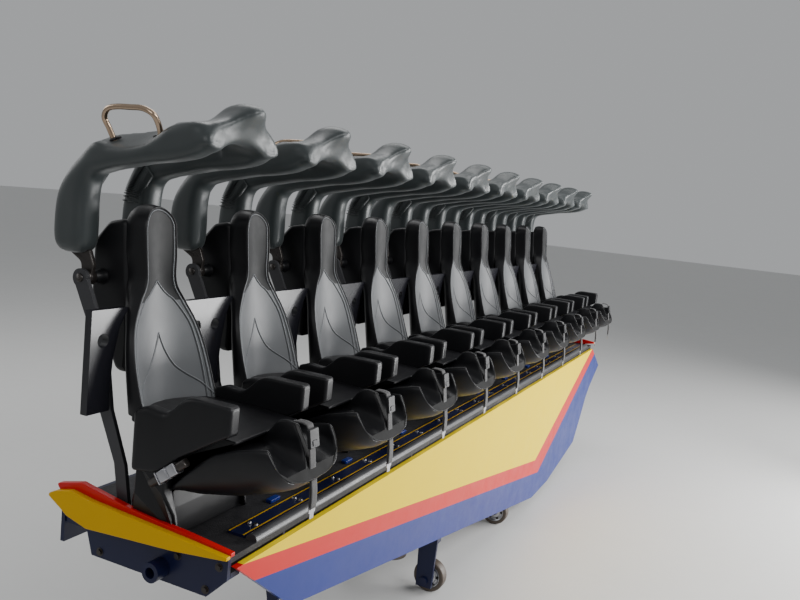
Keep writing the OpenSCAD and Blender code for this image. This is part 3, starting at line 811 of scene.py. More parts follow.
# Hip bolster from its front to its rear: y, top, underside, radius of the outer top edge
BOLSTER_ROWS = [
    (0.014, 0.000, -0.104, 0.014),
    (0.090, 0.001, -0.148, 0.015),
    (0.165, 0.000, -0.193, 0.018),
    (0.205, -0.014, -0.219, 0.026),
    (0.240, -0.046, -0.248, 0.040),
    (0.275, -0.072, -0.276, 0.046),
    (0.315, -0.072, -0.290, 0.044),
    (0.355, -0.068, -0.297, 0.040),
    (0.392, -0.080, -0.302, 0.036),
]
BOLSTER_T = 0.058
# The cheek below a bolster: its inner face, and the level and height over which it narrows
CHEEK_INNER = -0.192
CHEEK_NARROW_Z = -0.385
CHEEK_NARROW_H = 0.06


def bolster_ring(y, top, under, outer_r, shrink=0.0):
    """A section of the left bolster: outer side at minus X."""
    left, right = -SEAT_W / 2 + shrink, -SEAT_W / 2 + BOLSTER_T - shrink
    top, under = top - shrink, under + shrink
    corners = [(left, under, 0.014), (right, under, 0.010), (right, top, 0.012), (left, top, outer_r)]
    return [(x, y, z) for x, z in rounded(corners, 7)]


class COASTER_OT_bolsters(bpy.types.Operator):
    """Hip bolsters with rounded fronts and a scooped rear, and the seats' base shells"""
    bl_idname = "coaster.bolsters"
    bl_label = "Hip bolsters"

    def execute(self, context):
        rows = smooth_rows(BOLSTER_ROWS, 3)
        front = [bolster_ring(0.014 - 0.014 * math.cos(a), *rows[0][1:3], 0.014, 0.014 * (1 - math.sin(a)))
                 for a in np.radians([0, 22, 45, 68])]
        rear = [bolster_ring(0.392 + 0.015 * math.sin(a), *rows[-1][1:3], 0.036, 0.015 * (1 - math.cos(a)))
                for a in np.radians([30, 55, 75, 90])]
        one = skin(front + [bolster_ring(*row) for row in rows] + rear)
        one.faces = [face[::-1] for face in one.faces]
        cheek = slab(rounded([(0.250, -0.262, 0.01), (0.262, -0.350, 0.05), (0.235, -0.440, 0.05),
                              (0.215, -0.524, 0.01), (0.436, -0.524, 0.01), (0.424, -0.430, 0.04),
                              (0.394, -0.385, 0.05), (0.391, -0.300, 0.02), (0.391, -0.262, 0.01)]),
                     -0.240, CHEEK_INNER, 0.008)
        # Its lower part stays inside the red fin
        narrow = np.clip((CHEEK_NARROW_Z - cheek.points[:, 2]) / CHEEK_NARROW_H, 0, 1)
        cheek.points[:, 0] += (CHEEK_INNER - cheek.points[:, 0]) * 0.75 * narrow
        made = one.join(cheek).both().repeated(SEAT_X).mesh("bolster_shells", material("shell_black"))
        on_root(made, "hip_bolsters", slot="seat_black")
        pan = slab(rounded([(0.013, -0.129, 0.008), (0.013, -0.140, 0.008), (0.190, -0.216, 0.04),
                            (0.270, -0.300, 0.05), (0.250, -0.420, 0.05), (0.240, -0.5265, 0.005),
                            (0.430, -0.5265, 0.005), (0.408, -0.300, 0.02), (0.4075, -0.119, 0.012),
                            (0.200, -0.1185, 0.06)]), -0.1925, 0.1925, 0.004)
        shelf = slab(rounded([(-0.178, 0.396, 0.01), (0.178, 0.396, 0.01), (0.178, 0.480, 0.03),
                              (0.120, 0.520, 0.03), (-0.120, 0.520, 0.03), (-0.178, 0.480, 0.03)]),
                     -0.160, -0.1195, 0.005, axis="z")
        pans = pan.join(shelf).repeated(SEAT_X).mesh("pan_shells", material("shell_black"))
        on_root(pans, "seat_pans", slot="seat_black")
        return {"FINISHED"}


# Double calf shell from its front lip back: y, levels of rim, trough, divider and underside, half width
CALF_ROWS = [
    (-0.118, -0.122, -0.240, -0.078, -0.256, 0.212),
    (-0.085, -0.127, -0.224, -0.074, -0.286, 0.218),
    (-0.045, -0.137, -0.204, -0.084, -0.308, 0.221),
    (-0.005, -0.148, -0.182, -0.120, -0.326, 0.222),
    (0.045, -0.168, -0.176, -0.166, -0.345, 0.222),
    (0.093, -0.190, -0.194, -0.190, -0.358, 0.222),
    (0.180, -0.262, -0.264, -0.262, -0.372, 0.220),
    (0.250, -0.330, -0.332, -0.330, -0.364, 0.212),
]
CALF_SLANT = 0.56
DIVIDER_HALF = 0.014
RIM = 0.009
# How far below the rim the outer side starts
RIM_DROP = 0.014


def calf_section(y, rim, trough, divider, under, half, slant, round_share):
    """Half a ring of the shell, from the divider's top outwards and round to the underside's middle."""
    inner = half - RIM * 1.6
    middle = (DIVIDER_HALF + inner) / 2
    reach = (inner - DIVIDER_HALF) / 2
    depth = rim - trough
    points = [(0.0, divider), (DIVIDER_HALF * 0.6, divider - 0.001), (DIVIDER_HALF, divider - 0.008)]
    for a in np.linspace(180, 360, 13):
        c, s = math.cos(math.radians(a)), math.sin(math.radians(a))
        x = middle + reach * math.copysign(abs(c) ** 0.8, c)
        points.append((x, rim - depth * abs(s) ** 0.8 - 0.006 * (1 - abs(s))))
    points += [(inner + RIM * 0.35, rim - 0.001), (inner + RIM * 0.8, rim), (inner + RIM * 1.4, rim - 0.004),
               (half + 0.001, rim - RIM_DROP)]
    height = rim - RIM_DROP - under
    for a in np.linspace(8, 90, 10):
        c, s = math.cos(math.radians(a)), math.sin(math.radians(a))
        points.append((half * abs(c) ** (0.45 + 0.27 * round_share),
                       rim - RIM_DROP - height * s ** (1.15 - 0.30 * round_share)))
    return [(x, y + slant * (z - rim), z) for x, z in points]


def calf_shell():
    """The double shell, with its front cap as a second material."""
    rows = smooth_rows(CALF_ROWS, 4)
    rings = []
    last = rows[-1, 0]
    for row in rows:
        share = 1 - (row[0] - rows[0, 0]) / (last - rows[0, 0])
        half = calf_section(*row, CALF_SLANT * share ** 2, share ** 2)
        ring = half + [(-x, y, z) for x, y, z in half[-2:0:-1]]
        rings.append(np.array(ring))
    lip = rings[0]
    front = []
    for shrink, ahead in ((0.0045, 0.0048), (0.0015, 0.0035)):
        ring = lip.copy()
        flat = ring[:, [0, 2]]
        moved = inward(flat[::-1], shrink)[::-1]
        ring[:, 0], ring[:, 2] = moved[:, 0], moved[:, 1]
        ring[:, 1] -= ahead
        front.append(ring)
    made = skin(front + rings)
    made.faces = [face[::-1] for face in made.faces]
    made.paints[-2] = 1
    return made


class COASTER_OT_calf_shells(bpy.types.Operator):
    """Double calf shells with two sloping troughs and a tall divider"""
    bl_idname = "coaster.calf_shells"
    bl_label = "Calf shells"

    def execute(self, context):
        made = calf_shell().repeated(SEAT_X).mesh(
            "calf_shell_bowls", material("shell_black"), material("matt_black"))
        on_root(made, "calf_shells", slot="seat_black")
        return {"FINISHED"}


def ribbon(path, half_width, thick):
    """A flat strap along (y, z) points."""
    path = along([(y, z) for y, z in path], 0.008)
    ahead = np.gradient(path, axis=0)
    ahead /= np.linalg.norm(ahead, axis=1)[:, None]
    away = np.stack([-ahead[:, 1], ahead[:, 0]], 1) * thick / 2
    xs = [half_width * share for share in (-1, -0.5, 0, 0.5, 1)]
    rings = []
    for (y, z), (ay, az) in zip(path, away):
        rings.append([(x, y + ay, z + az) for x in xs] + [(x, y - ay, z - az) for x in xs[::-1]])
    return skin(rings)


class COASTER_OT_calf_straps(bpy.types.Operator):
    """Straps that hang from the dividers, with buckle and tongue"""
    bl_idname = "coaster.calf_straps"
    bl_label = "Calf straps"

    def execute(self, context):
        web = ribbon([(-0.105, -0.070), (-0.135, -0.069), (-0.155, -0.074), (-0.162, -0.090),
                      (-0.174, -0.160), (-0.186, -0.250), (-0.191, -0.300), (-0.1935, -0.370)], 0.020, 0.0035)
        fold = ribbon([(-0.191, -0.262), (-0.197, -0.300), (-0.199, -0.345), (-0.1975, -0.366)],
                      0.0195, 0.003)
        buckle = slab(oblong(-0.030, -0.034, 0.030, 0.034, 0.006), -0.007, 0.007, 0.003, axis="y", paint=1)
        button = slab(oblong(-0.016, -0.026, 0.016, -0.006, 0.004), -0.0095, -0.004, 0.0015,
                      axis="y", paint=1)
        buckle.join(button)
        tilt = Matrix.Rotation(math.radians(-10), 4, "X")
        tongue = slab(rounded([(-0.021, 0.0, 0.004), (-0.021, 0.022, 0.004), (0.021, 0.022, 0.004),
                               (0.021, 0.0, 0.004), (0.013, -0.002, 0.002), (0.013, -0.022, 0.003),
                               (-0.013, -0.022, 0.003), (-0.013, -0.002, 0.002)]), -0.0015, 0.0015, 0.0006,
                      axis="y", paint=2)
        one = web.join(fold, buckle.turned(tilt).moved(0, -0.174, -0.118), tongue.moved(0, -0.1945, -0.381))
        one = one.moved(y=0.005)
        names = ("webbing_grey", "buckle_black", "bright_steel")
        made = one.repeated(SEAT_X).mesh("calf_webbing", *[material(name) for name in names])
        on_root(made, "calf_straps", "strap_buckles", slot="webbing")
        return {"FINISHED"}


class COASTER_OT_clamps(bpy.types.Operator):
    """Silver clamps round the dark tubes that run up under the bolsters"""
    bl_idname = "coaster.clamps"
    bl_label = "Clamps"

    def execute(self, context):
        one = revolve([(0.0, -0.050), (0.0145, -0.050), (0.0155, -0.049), (0.0155, 0.130), (0.0145, 0.131),
                       (0.0, 0.131)], axis="z", sides=28, paint=1)
        # Blocks up the tube: start, end, half width
        for start, end, half in ((0.0, 0.004, 0.0235), (0.004, 0.046, 0.0205), (0.049, 0.0525, 0.0225),
                                 (0.0525, 0.091, 0.0205)):
            one.join(slab(oblong(-half, -half, half, half, 0.005, 3), start, end,
                          min(0.002, (end - start) * 0.3), axis="z", steps=2))
        tilted = one.turned(Matrix.Rotation(math.radians(53), 4, "X")).moved(-0.246, 0.2715, -0.2985)
        made = tilted.both().repeated(SEAT_X).mesh(
            "strut_clamps", material("bright_steel"), material("dark_steel"))
        on_root(made, "seat_clamps", slot="bare_steel")
        return {"FINISHED"}


# Restraints

ARM_X = 0.1625
ARM_HALF = 0.053
# Arm from its lower end: middle's y and z, distances from there to the underside, to the outer and to the
# inner top edge, radii of these three edges, turn of the section, share of the full width
ARM_ROWS = [
    (0.8040, 0.411, 0.034, 0.038, 0.030, 0.026, 0.034, 0.022, 90, 0.50),
    (0.8050, 0.422, 0.058, 0.064, 0.048, 0.040, 0.048, 0.028, 90, 0.80),
    (0.8050, 0.452, 0.074, 0.083, 0.058, 0.046, 0.050, 0.030, 90, 0.98),
    (0.8050, 0.520, 0.077, 0.089, 0.060, 0.048, 0.052, 0.028, 90, 1.0),
    (0.8030, 0.620, 0.073, 0.080, 0.052, 0.048, 0.052, 0.024, 93, 1.0),
    (0.7820, 0.700, 0.066, 0.049, 0.034, 0.046, 0.048, 0.020, 114, 1.0),
    (0.7410, 0.748, 0.062, 0.033, 0.040, 0.042, 0.042, 0.018, 140, 1.0),
    (0.6860, 0.773, 0.061, 0.040, 0.074, 0.032, 0.020, 0.015, 160, 1.0),
    (0.6380, 0.783, 0.058, 0.014, 0.081, 0.032, 0.006, 0.012, 168, 1.0),
    (0.5700, 0.797, 0.058, 0.000, 0.076, 0.032, 0.006, 0.012, 168, 1.0),
    (0.5160, 0.808, 0.057, -0.004, 0.073, 0.032, 0.006, 0.012, 168, 1.0),
    (0.4720, 0.818, 0.059, -0.001, 0.071, 0.032, 0.006, 0.012, 168, 1.0),
    (0.4400, 0.824, 0.061, 0.009, 0.069, 0.032, 0.008, 0.014, 168, 1.0),
    (0.4080, 0.831, 0.064, 0.022, 0.068, 0.032, 0.014, 0.018, 168, 1.0),
    (0.3760, 0.838, 0.066, 0.040, 0.066, 0.032, 0.024, 0.022, 168, 1.0),
    (0.3410, 0.845, 0.066, 0.052, 0.063, 0.032, 0.036, 0.030, 168, 1.0),
    (0.3000, 0.853, 0.064, 0.054, 0.060, 0.032, 0.038, 0.032, 168, 0.98),
    (0.2600, 0.866, 0.060, 0.045, 0.050, 0.030, 0.036, 0.032, 168, 0.90),
    (0.2260, 0.874, 0.048, 0.030, 0.036, 0.030, 0.032, 0.028, 168, 0.66),
]
# Profiles across the tail: x, then y and z of the rear underside, rear top, three points of the top, the
# ridge, the hollow front face, the arch's edge and the underside
TAIL_ROWS = [
    (0.000, .375, .872, .375, .918, .335, .936, .285, .984,
     .212, .998, .140, .975, .180, .915, .224, .856, .300, .864),
    (0.030, .375, .870, .375, .916, .335, .932, .284, .975,
     .212, .989, .149, .967, .185, .911, .223, .855, .300, .862),
    (0.060, .375, .862, .375, .910, .335, .922, .282, .948,
     .220, .963, .172, .950, .198, .901, .222, .851, .300, .855),
    (0.095, .385, .825, .385, .902, .330, .914, .275, .929,
     .224, .936, .192, .927, .204, .884, .218, .840, .300, .832),
    (0.130, .395, .785, .395, .898, .322, .911, .265, .921,
     .228, .922, .203, .913, .207, .868, .210, .825, .300, .798),
    (0.160, .395, .780, .395, .893, .322, .907, .266, .912,
     .230, .910, .208, .900, .206, .857, .207, .824, .300, .796),
    (0.184, .390, .786, .390, .878, .322, .892, .270, .894,
     .236, .890, .208, .882, .202, .852, .204, .830, .300, .802),
    (0.202, .380, .805, .380, .850, .322, .862, .276, .872,
     .248, .876, .216, .872, .206, .850, .208, .834, .300, .818),
    (0.212, .355, .822, .355, .838, .318, .850, .284, .858,
     .262, .860, .238, .857, .228, .848, .232, .838, .300, .832),
]


def on_arm(row, across, above):
    """A place in the section of a right arm's row: across it, and away from its middle."""
    angle = math.radians(row[8] - 180)
    return (ARM_X + across, row[0] - above * math.sin(angle), row[1] + above * math.cos(angle))


def arm_shape():
    """The right arm."""
    rings = []
    for row in smooth_rows(ARM_ROWS, 4):
        _, _, low, out, top, low_r, out_r, top_r, _, share = row
        wide = ARM_HALF * share
        corners = [(wide, -low, low_r), (wide, out, out_r), (-wide, top, top_r), (-wide, -low, low_r)]
        rings.append([on_arm(row, a, b) for a, b in rounded(corners, 6)])
    return skin(rings)


def tail_shape():
    """The flared tail between the arms, mirrored at its middle."""
    rings = []
    for x, *flat in smooth_rows(TAIL_ROWS, 4):
        flat = np.array(flat).reshape(-1, 2)
        rings.append([(x, y, z) for y, z in smooth_rows(np.vstack([flat, flat[:1]]), 3)[:-1]])
    left = [[(-x, y, z) for x, y, z in ring] for ring in rings[:0:-1]]
    return skin(left + rings)


# Smoothing rounds after the blend
SOFTEN_ROUNDS = 6


def pad_mesh():
    """Arms and tail blended to one smooth mesh."""
    settings = bpy.context.scene.coaster_restraints
    rough = arm_shape().both().join(tail_shape()).mesh("pad_rough", material("restraint_foam"))
    blend = rough.modifiers.new("Blend", "REMESH")
    blend.mode = "VOXEL"
    blend.voxel_size = settings.voxel
    blend.use_smooth_shade = True
    soften = rough.modifiers.new("Soften", "SMOOTH")
    soften.factor = 0.5
    soften.iterations = SOFTEN_ROUNDS
    evaluated = rough.evaluated_get(bpy.context.evaluated_depsgraph_get())
    data = bpy.data.meshes.new_from_object(evaluated)
    bpy.data.objects.remove(rough)
    return data


class COASTER_OT_restraint_pads(bpy.types.Operator):
    """Over-shoulder restraints: two swept arms that join in a flared tail"""
    bl_idname = "coaster.restraint_pads"
    bl_label = "Restraint pads"

    def execute(self, context):
        data = pad_mesh()
        for i, x in enumerate(SEAT_X, 1):
            own = data.copy()
            own.name = f"restraint_foam_{i}"
            own.transform(Matrix.Translation((x, 0, 0)))
            made = placed(own.name, own)
            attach(made, f"restraint_{i}")
            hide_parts(f"restraint_pad_{i}")
        return {"FINISHED"}


# How far a bellows rib reaches forward from the arm's rear edge
RIB_REACH = 0.085
# How far a corner rib's middle is sunk at the first rib, and how much less at the last
RIB_SINK = 0.013
RIB_RISE = 0.007


class COASTER_OT_bellows(bpy.types.Operator):
    """Bellows ribs on the inner face of every restraint arm, along its rear edge"""
    bl_idname = "coaster.bellows"
    bl_label = "Bellows ribs"

    def execute(self, context):
        tree = rib_tree()
        count = context.scene.coaster_restraints.ribs
        stretch = smooth_rows(ARM_ROWS[3:7], 12)
        path = along([(*on_arm(row, 0, (row[3] + row[4]) / 2), *row) for row in stretch], 0.002)
        picked = path[np.linspace(0, len(path) - 1, count).astype(int)]
        outward = Vector((1, 0, 0))
        for i, x in enumerate(SEAT_X, 1):
            for side, name in ((-1, "left"), (1, "right")):
                spots, away, across = [], [], []
                for k, row in enumerate(picked[:, 3:]):
                    front = Vector(on_arm(row, -ARM_HALF * 0.93, row[4] - RIB_REACH))
                    rear = Vector(on_arm(row, -ARM_HALF * 0.93, row[4] - 0.010))
                    corner = Vector(on_arm(row, -ARM_HALF, row[4]))
                    above = (Vector(on_arm(row, 0, 1)) - Vector(on_arm(row, 0, 0))).normalized()
                    out = (above - outward).normalized()
                    sunk = corner - out * (RIB_SINK - RIB_RISE * k / count)
                    for middle, face, lie in (((front + rear) / 2, -outward, (rear - front).normalized()),
                                              (sunk, out, (above + outward).normalized())):
                        spots.append(in_model(x + side * middle.x, middle.y, middle.z))
                        away.append((side * face.x, face.y, face.z))
                        across.append((side * lie.x, lie.y, lie.z))
                made = grown(f"bellows_{name}_{i}", tree, {
                    "Size": (RIB_REACH * 0.45, 0.0042, 0.0150), "Material": material("restraint_foam")},
                    spots, away=away, across=across)
                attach(made, f"restraint_{i}")
        return {"FINISHED"}


# Middle line of a right handle's tube, from its rear foot to its front foot
HANDLE_PATH = [
    (.160, .646, .815), (.1825, .658, .865), (.2025, .663, .900), (.2225, .631, .928), (.2275, .586, .937),
    (.2275, .526, .938), (.2255, .473, .937), (.2175, .436, .922), (.2025, .427, .900), (.1855, .426, .868),
    (.180, .427, .842)]
# Where the feet and the screws beside them stand on the flat
FLAT_SPOTS = {
    "foot": [(.1655, .651, .832), (.1825, .427, .852)],
    "screw": [(.1655, .626, .838), (.1825, .450, .850)]}
FLAT_NORMAL = (.51, .17, .84)


def handle_shape(diameter):
    """A bent grab handle with the collars and screws at its feet, on the right arm's flat."""
    made = tube(smooth_rows(HANDLE_PATH, 6), diameter / 2, sides=16)
    collar = revolve([(0.0, -0.004), (0.015, -0.004), (0.016, 0.001), (0.015, 0.0035), (0.0115, 0.006),
                      (0.0, 0.007)], axis="z", sides=24, paint=1)
    screw = revolve([(0.0, -0.004), (0.0075, -0.004), (0.0075, 0.002), (0.006, 0.0035), (0.0, 0.0035)],
                    axis="z", sides=16, paint=1)
    stand = Vector((0, 0, 1)).rotation_difference(Vector(FLAT_NORMAL)).to_matrix().to_4x4()
    for shape, name in ((collar, "foot"), (screw, "screw")):
        for place in FLAT_SPOTS[name]:
            made.join(shape.turned(stand).moved(*place))
    return made


def lever_shape():
    """The lever between an arm and its pivot: plate with a bevelled edge, hub, pin head and foot."""
    end = [(PIVOT_Y + 0.030 * math.cos(a), PIVOT_Z + 0.030 * math.sin(a), 0)
           for a in np.linspace(math.radians(150), math.radians(335), 14)]
    outline = rounded(end + [(0.768, 0.330, 0.02), (0.772, 0.380, 0.03), (0.835, 0.414, 0.015),
                             (0.848, 0.427, 0.006), (0.735, 0.427, 0.010), (0.712, 0.372, 0.03)])
    plate = slab(outline, 0.150, 0.168, 0.004)
    hub = revolve([(0.0162, 0.1385), (0.026, 0.1385), (0.028, 0.1405), (0.028, 0.1755), (0.026, 0.1775),
                   (0.0162, 0.1775)], sides=32)
    head = revolve([(0.0, 0.1785), (0.017, 0.1785), (0.0175, 0.180), (0.0175, 0.1835), (0.016, 0.185),
                    (0.009, 0.185), (0.009, 0.189), (0.0, 0.1895)], sides=24)
    foot = slab(oblong(0.134, 0.760, 0.182, 0.856, 0.008), 0.421, 0.428, 0.002, axis="z")
    return plate.join(hub.moved(0, PIVOT_Y, PIVOT_Z), head.moved(0, PIVOT_Y, PIVOT_Z), foot)


class COASTER_OT_levers(bpy.types.Operator):
    """Levers, pivot caps and chrome grab handles of the restraints"""
    bl_idname = "coaster.levers"
    bl_label = "Levers and handles"

    def execute(self, context):
        levers = lever_shape().both()
        handles = handle_shape(context.scene.coaster_restraints.handle_d).both()
        for i, x in enumerate(SEAT_X, 1):
            made = levers.moved(x).mesh(f"levers_{i}", material("dark_steel"))
            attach(made, f"restraint_{i}")
            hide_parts(f"restraint_frame_{i}")
            bars = handles.moved(x).mesh(
                f"grab_handles_{i}", material("warm_chrome"), material("buckle_black"))
            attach(bars, f"restraint_{i}")
        return {"FINISHED"}


# Deck, panel and ends

# Places on an end plate of its bolts: Y and Z
END_BOLTS = [(0.560, -0.664), (0.207, -0.577), (0.030, -0.567), (0.080, -0.662)]
# The painted lines on the edge strip: distance from its edge, half width, height
LINE_IN = 0.004
LINE_HALF = 0.0024
LINE_H = 0.0015
STRIP_BOLT_IN = 0.020


class COASTER_OT_deck(bpy.types.Operator):
    """Deck, rail, strip and frame finishes with their bolts and foot pieces"""
    bl_idname = "coaster.deck"
    bl_label = "Deck"

    def execute(self, context):
        dress("deck_black", "deck_tray")
        dress("rail_grey", "front_rail")
        dress("navy_paint", "edge_strip", "end_plates", "end_sockets", "rear_skirt", "deck_frame",
              "main_girder", "fascia_brackets", "carrier_left", "carrier_right")
        dress("dark_steel", "coupling_bar")
        low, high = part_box("edge_strip")
        top = high.z - ROW_Z
        rear = high.y - ROW_Y
        front = low.y - ROW_Y
        half = high.x
        trim = Shape()
        for y in (front + LINE_IN, rear - LINE_IN):
            trim.join(slab(oblong(-half, y - LINE_HALF, half, y + LINE_HALF), top, top + LINE_H, 0.0006,
                           axis="z"))
        made = trim.mesh("strip_lines", material("yellow_paint"))
        on_root(made, slot="yellow_paint")
        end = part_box("deck_tray")[1].x - 0.002
        apron = slab(oblong(-end, -0.0048, end, 0.0010), DECK_TOP - 0.060, DECK_TOP - 0.0225, 0.001, axis="z")
        on_root(apron.mesh("deck_apron", material("matt_black")), slot="dark_steel")
        foot = slab(oblong(-0.034, 0.150, 0.034, 0.178, 0.006), DECK_TOP, DECK_TOP + 0.016, 0.004, axis="z")
        between = [x + SEAT_PITCH / 2 for x in SEAT_X[:-1]]
        feet = foot.repeated(between).mesh("foot_pieces", material("blue_paint"))
        on_root(feet, slot="blue_paint")
        spots, normals = [], []
        for x in np.arange(-half + 0.10, half, SEAT_PITCH / 2):
            for y in (front + STRIP_BOLT_IN, rear - STRIP_BOLT_IN):
                spots.append(in_model(x, y, top + LINE_H))
                normals.append((0, 0, 1))
        bolts = grown("strip_bolts", bolt_tree(), {"Across": 0.008, "Height": 0.005,
                                                   "Material": material("bright_steel")}, spots, away=normals)
        on_root(bolts, slot="bare_steel")
        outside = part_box("end_plates")[1].x
        ends = [(side * outside, *in_model(0, y, z)[1:]) for side in (-1, 1) for y, z in END_BOLTS]
        bolts = grown("end_bolts", bolt_tree(), {"Across": 0.011, "Height": 0.007,
                                                 "Material": material("dark_steel")}, ends,
                      away=[(math.copysign(1, x), 0, 0) for x, _, _ in ends])
        on_root(bolts, slot="dark_steel")
        return {"FINISHED"}


class COASTER_OT_front_panel(bpy.types.Operator):
    """Paint of the striped front panel"""
    bl_idname = "coaster.front_panel"
    bl_label = "Front panel"

    def execute(self, context):
        dress("panel_yellow", "fascia_yellow")
        dress("red_paint", "fascia_stripe")
        dress("blue_paint", "fascia_blue")
        return {"FINISHED"}


class COASTER_OT_end_fins(bpy.types.Operator):
    """Yellow and red end fins with rounded edges"""
    bl_idname = "coaster.end_fins"
    bl_label = "End fins"

    def execute(self, context):
        outer_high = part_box("fins_outer")[1]
        inner_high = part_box("fins_inner")[1]
        thick = outer_high.x - inner_high.x
        yellow = slab(rounded([(-0.030, -0.500, 0.003), (0.108, -0.489, 0.1), (0.300, -0.477, 0.2),
                               (0.573, -0.460, 0.1), (0.676, -0.446, 0.02), (0.745, -0.462, 0.02),
                               (0.790, -0.484, 0.012),
                               (0.722, -0.522, 0.03), (0.687, -0.544, 0.03), (0.590, -0.568, 0.05),
                               (0.398, -0.554, 0.2), (0.199, -0.540, 0.1), (-0.030, -0.512, 0.003)]),
                      outer_high.x - thick, outer_high.x, 0.003)
        red = slab(rounded([(-0.030, -0.493, 0.004), (0.149, -0.475, 0.1), (0.284, -0.465, 0.2),
                            (0.434, -0.448, 0.2), (0.600, -0.422, 0.05), (0.645, -0.414, 0.02),
                            (0.768, -0.444, 0.012), (0.745, -0.470, 0.02), (0.632, -0.545, 0.05),
                            (0.300, -0.550, 0.1), (0.120, -0.540, 0.1), (-0.030, -0.508, 0.004)]),
                   inner_high.x - thick, inner_high.x, 0.003)
        yellow_fins = yellow.both().mesh("end_fins_yellow", material("yellow_paint"))
        on_root(yellow_fins, "fins_outer", slot="yellow_paint")
        red_fins = red.both().mesh("end_fins_red", material("red_paint"))
        on_root(red_fins, "fins_inner", slot="red_paint")
        return {"FINISHED"}


def ring_shape(profile, axis, sides=64, paint=0):
    """A closed profile of (radius, height) points turned about an axis, open in its middle."""
    made = revolve(list(profile) + [profile[0]], axis=axis, sides=sides, paint=paint)
    made.faces, made.paints = made.faces[:-2], made.paints[:-2]
    return made


# Wheels: bore, radius of the boss, thickness of the tyre and of the rim, depth of the recess between
WHEEL_BORE = 0.0253
BOSS_R = 0.048
TYRE_T = 0.026
RIM_T = 0.010
RECESS = 0.014
HUB_BOLT_COUNT = 6


def wheel_shape(radius, width, axis):
    """A wheel on its axle: crowned tyre, and a hub with a recessed disc on each side."""
    half, rim = width / 2, radius - TYRE_T
    edge = [(rim, half), (radius - 0.009, half), (radius - 0.003, half - 0.003),
            (radius - 0.0005, half - 0.010), (radius, half * 0.3)]
    tread = ring_shape([(r, -h) for r, h in edge] + [(r, h) for r, h in edge[::-1]], axis)
    side = [(WHEEL_BORE, half - 0.004), (BOSS_R - 0.003, half - 0.004), (BOSS_R - 0.001, half - 0.007),
            (BOSS_R, half - RECESS), (rim - RIM_T, half - RECESS), (rim - 0.006, half - 0.003),
            (rim - 0.0003, half - 0.001)]
    hub = ring_shape([(r, -h) for r, h in side] + [(r, h) for r, h in side[::-1]], axis, paint=1)
    return tread.join(hub)


class COASTER_OT_wheels(bpy.types.Operator):
    """Running, guide and up-stop wheels with tyre, recessed hub and hub bolts"""
    bl_idname = "coaster.wheels"
    bl_label = "Wheels"

    def execute(self, context):
        tree = bolt_tree()
        for kind, axis in (("run", "x"), ("guide", "z"), ("stop", "x")):
            for i in range(1, 5):
                node = f"{kind}_wheel_{i}"
                low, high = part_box(node)
                middle = (low + high) / 2
                size = high - low
                radius = size.y / 2
                width = size["xyz".index(axis)]
                shape = wheel_shape(radius, width, axis)
                shape.points += np.array(middle) - [0, ROW_Y, ROW_Z]
                made = shape.mesh(f"{kind}_tyre_{i}", material("wheel_tyre"), material("bright_steel"))
                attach(made, node)
                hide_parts(node)
                spots, away = [], []
                ring = (BOSS_R + radius - TYRE_T - RIM_T) / 2
                for k in range(HUB_BOLT_COUNT):
                    a = 2 * math.pi * k / HUB_BOLT_COUNT
                    for side in (-1, 1):
                        flat = (ring * math.cos(a), ring * math.sin(a))
                        up = side * (width / 2 - RECESS)
                        place = (up, *flat) if axis == "x" else (*flat, up)
                        spots.append(middle + Vector(place))
                        away.append((side, 0, 0) if axis == "x" else (0, 0, side))
                bolts = grown(f"{kind}_hub_bolts_{i}", tree, {
                    "Across": 0.007, "Height": 0.006, "Material": material("dark_steel")}, spots, away=away)
                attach(bolts, node)
        return {"FINISHED"}


# Stage

FLOOR_REACH = 60.0
SENSOR_W = 36.0
# Soft boxes: name, place, aim, width, height, watts
SOFT_BOXES = [
    ("key", (-1.5, -6.0, 4.2), (0.0, -0.8, 0.6), 5.0, 2.0, 220),
    ("low", (2.2, -5.6, 0.2), (-1.4, -0.9, 2.1), 4.0, 1.2, 300),
    ("window", (6.5, -7.5, 3.4), (-1.0, -0.8, 1.3), 5.0, 2.6, 650),
    ("sky", (1.0, -0.5, 6.5), (0.0, -0.5, 0.5), 8.0, 3.0, 260),
    ("near", (-8.0, -1.5, 3.6), (-2.0, -0.6, 0.8), 2.5, 2.0, 40),
    ("rear", (-3.0, 6.0, 4.0), (0.0, 0.0, 1.0), 6.0, 3.0, 110)]


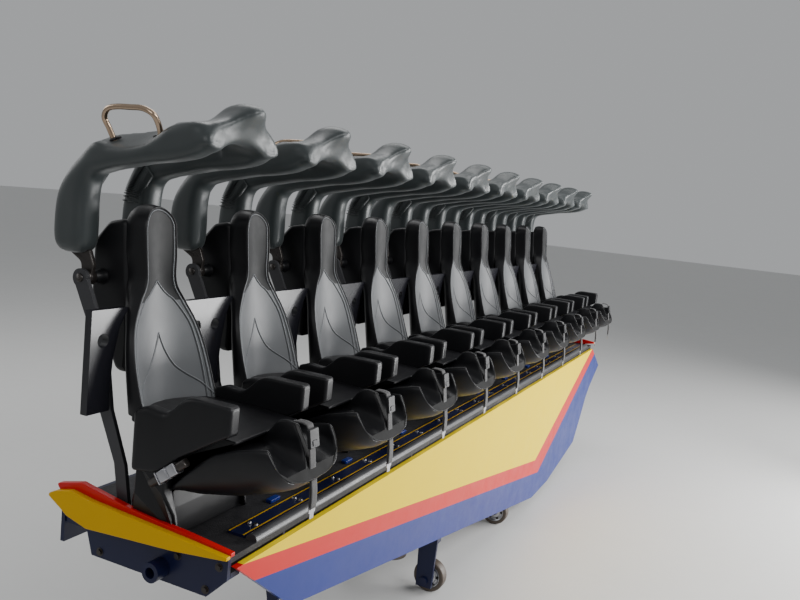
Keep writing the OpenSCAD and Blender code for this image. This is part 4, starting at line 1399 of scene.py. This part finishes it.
class COASTER_OT_stage(bpy.types.Operator):
    """Floor, soft studio light and the camera"""
    bl_idname = "coaster.stage"
    bl_label = "Stage"

    def execute(self, context):
        settings = context.scene.coaster_stage
        data = bpy.data.meshes.new("floor")
        corners = oblong(-FLOOR_REACH, -FLOOR_REACH, FLOOR_REACH, FLOOR_REACH)
        data.from_pydata([(x, y, GROUND) for x, y in corners], [], [(0, 1, 2, 3)])
        floor = placed("floor", data)
        data.materials.append(finish("floor", settings.floor, lighter(settings.floor, 0.96), rough=(0.6, 0.8),
                                     drift=0.6, bump=(0.0, 0.001)))
        world = bpy.data.worlds.new("studio")
        world.use_nodes = True
        shade = world.node_tree.nodes["Background"]
        shade.inputs["Color"].default_value = (0.86, 0.88, 0.90, 1)
        shade.inputs["Strength"].default_value = 0.46
        context.scene.world = world
        for name, place, aim, wide, high, watts in SOFT_BOXES:
            lamp = bpy.data.lights.new(name, "AREA")
            lamp.shape = "RECTANGLE"
            lamp.size, lamp.size_y, lamp.energy = wide, high, watts
            light = placed(name, lamp)
            light.location = place
            light.rotation_euler = (Vector(aim) - Vector(place)).to_track_quat("-Z", "Y").to_euler()
        lens = bpy.data.cameras.new("camera")
        lens.lens = settings.lens
        lens.sensor_width = SENSOR_W
        lens.sensor_fit = "HORIZONTAL"
        camera = placed("camera", lens)
        camera.location = settings.eye
        camera.rotation_euler = settings.turn
        context.scene.camera = camera
        return {"FINISHED"}


class COASTER_PT_panel(bpy.types.Panel):
    """Every group of pieces, in the order in which they are made"""
    bl_idname = "COASTER_PT_panel"
    bl_label = "Roller coaster car"
    bl_space_type = "VIEW_3D"
    bl_region_type = "UI"
    bl_category = "Coaster"

    def draw(self, context):
        for operator in OPERATORS:
            self.layout.operator(operator.bl_idname)


OPERATORS = [
    COASTER_OT_stage, COASTER_OT_seat_backs, COASTER_OT_bolsters, COASTER_OT_calf_shells,
    COASTER_OT_calf_straps, COASTER_OT_clamps, COASTER_OT_restraint_pads, COASTER_OT_bellows,
    COASTER_OT_levers, COASTER_OT_deck, COASTER_OT_front_panel, COASTER_OT_end_fins, COASTER_OT_wheels]
SETTINGS = {"coaster_seats": SeatSettings, "coaster_restraints": RestraintSettings,
            "coaster_paint": PaintSettings, "coaster_stage": StageSettings}


def register():
    for group in SETTINGS.values():
        bpy.utils.register_class(group)
    for operator in OPERATORS:
        bpy.utils.register_class(operator)
    bpy.utils.register_class(COASTER_PT_panel)
    for name, group in SETTINGS.items():
        setattr(bpy.types.Scene, name, bpy.props.PointerProperty(type=group))


def unregister():
    for name in SETTINGS:
        delattr(bpy.types.Scene, name)
    bpy.utils.unregister_class(COASTER_PT_panel)
    for operator in OPERATORS[::-1]:
        bpy.utils.unregister_class(operator)
    for group in SETTINGS.values():
        bpy.utils.unregister_class(group)


def main():
    register()
    for operator in OPERATORS:
        kind, name = operator.bl_idname.split(".")
        getattr(getattr(bpy.ops, kind), name)()


if __name__ == "__main__":
    main()
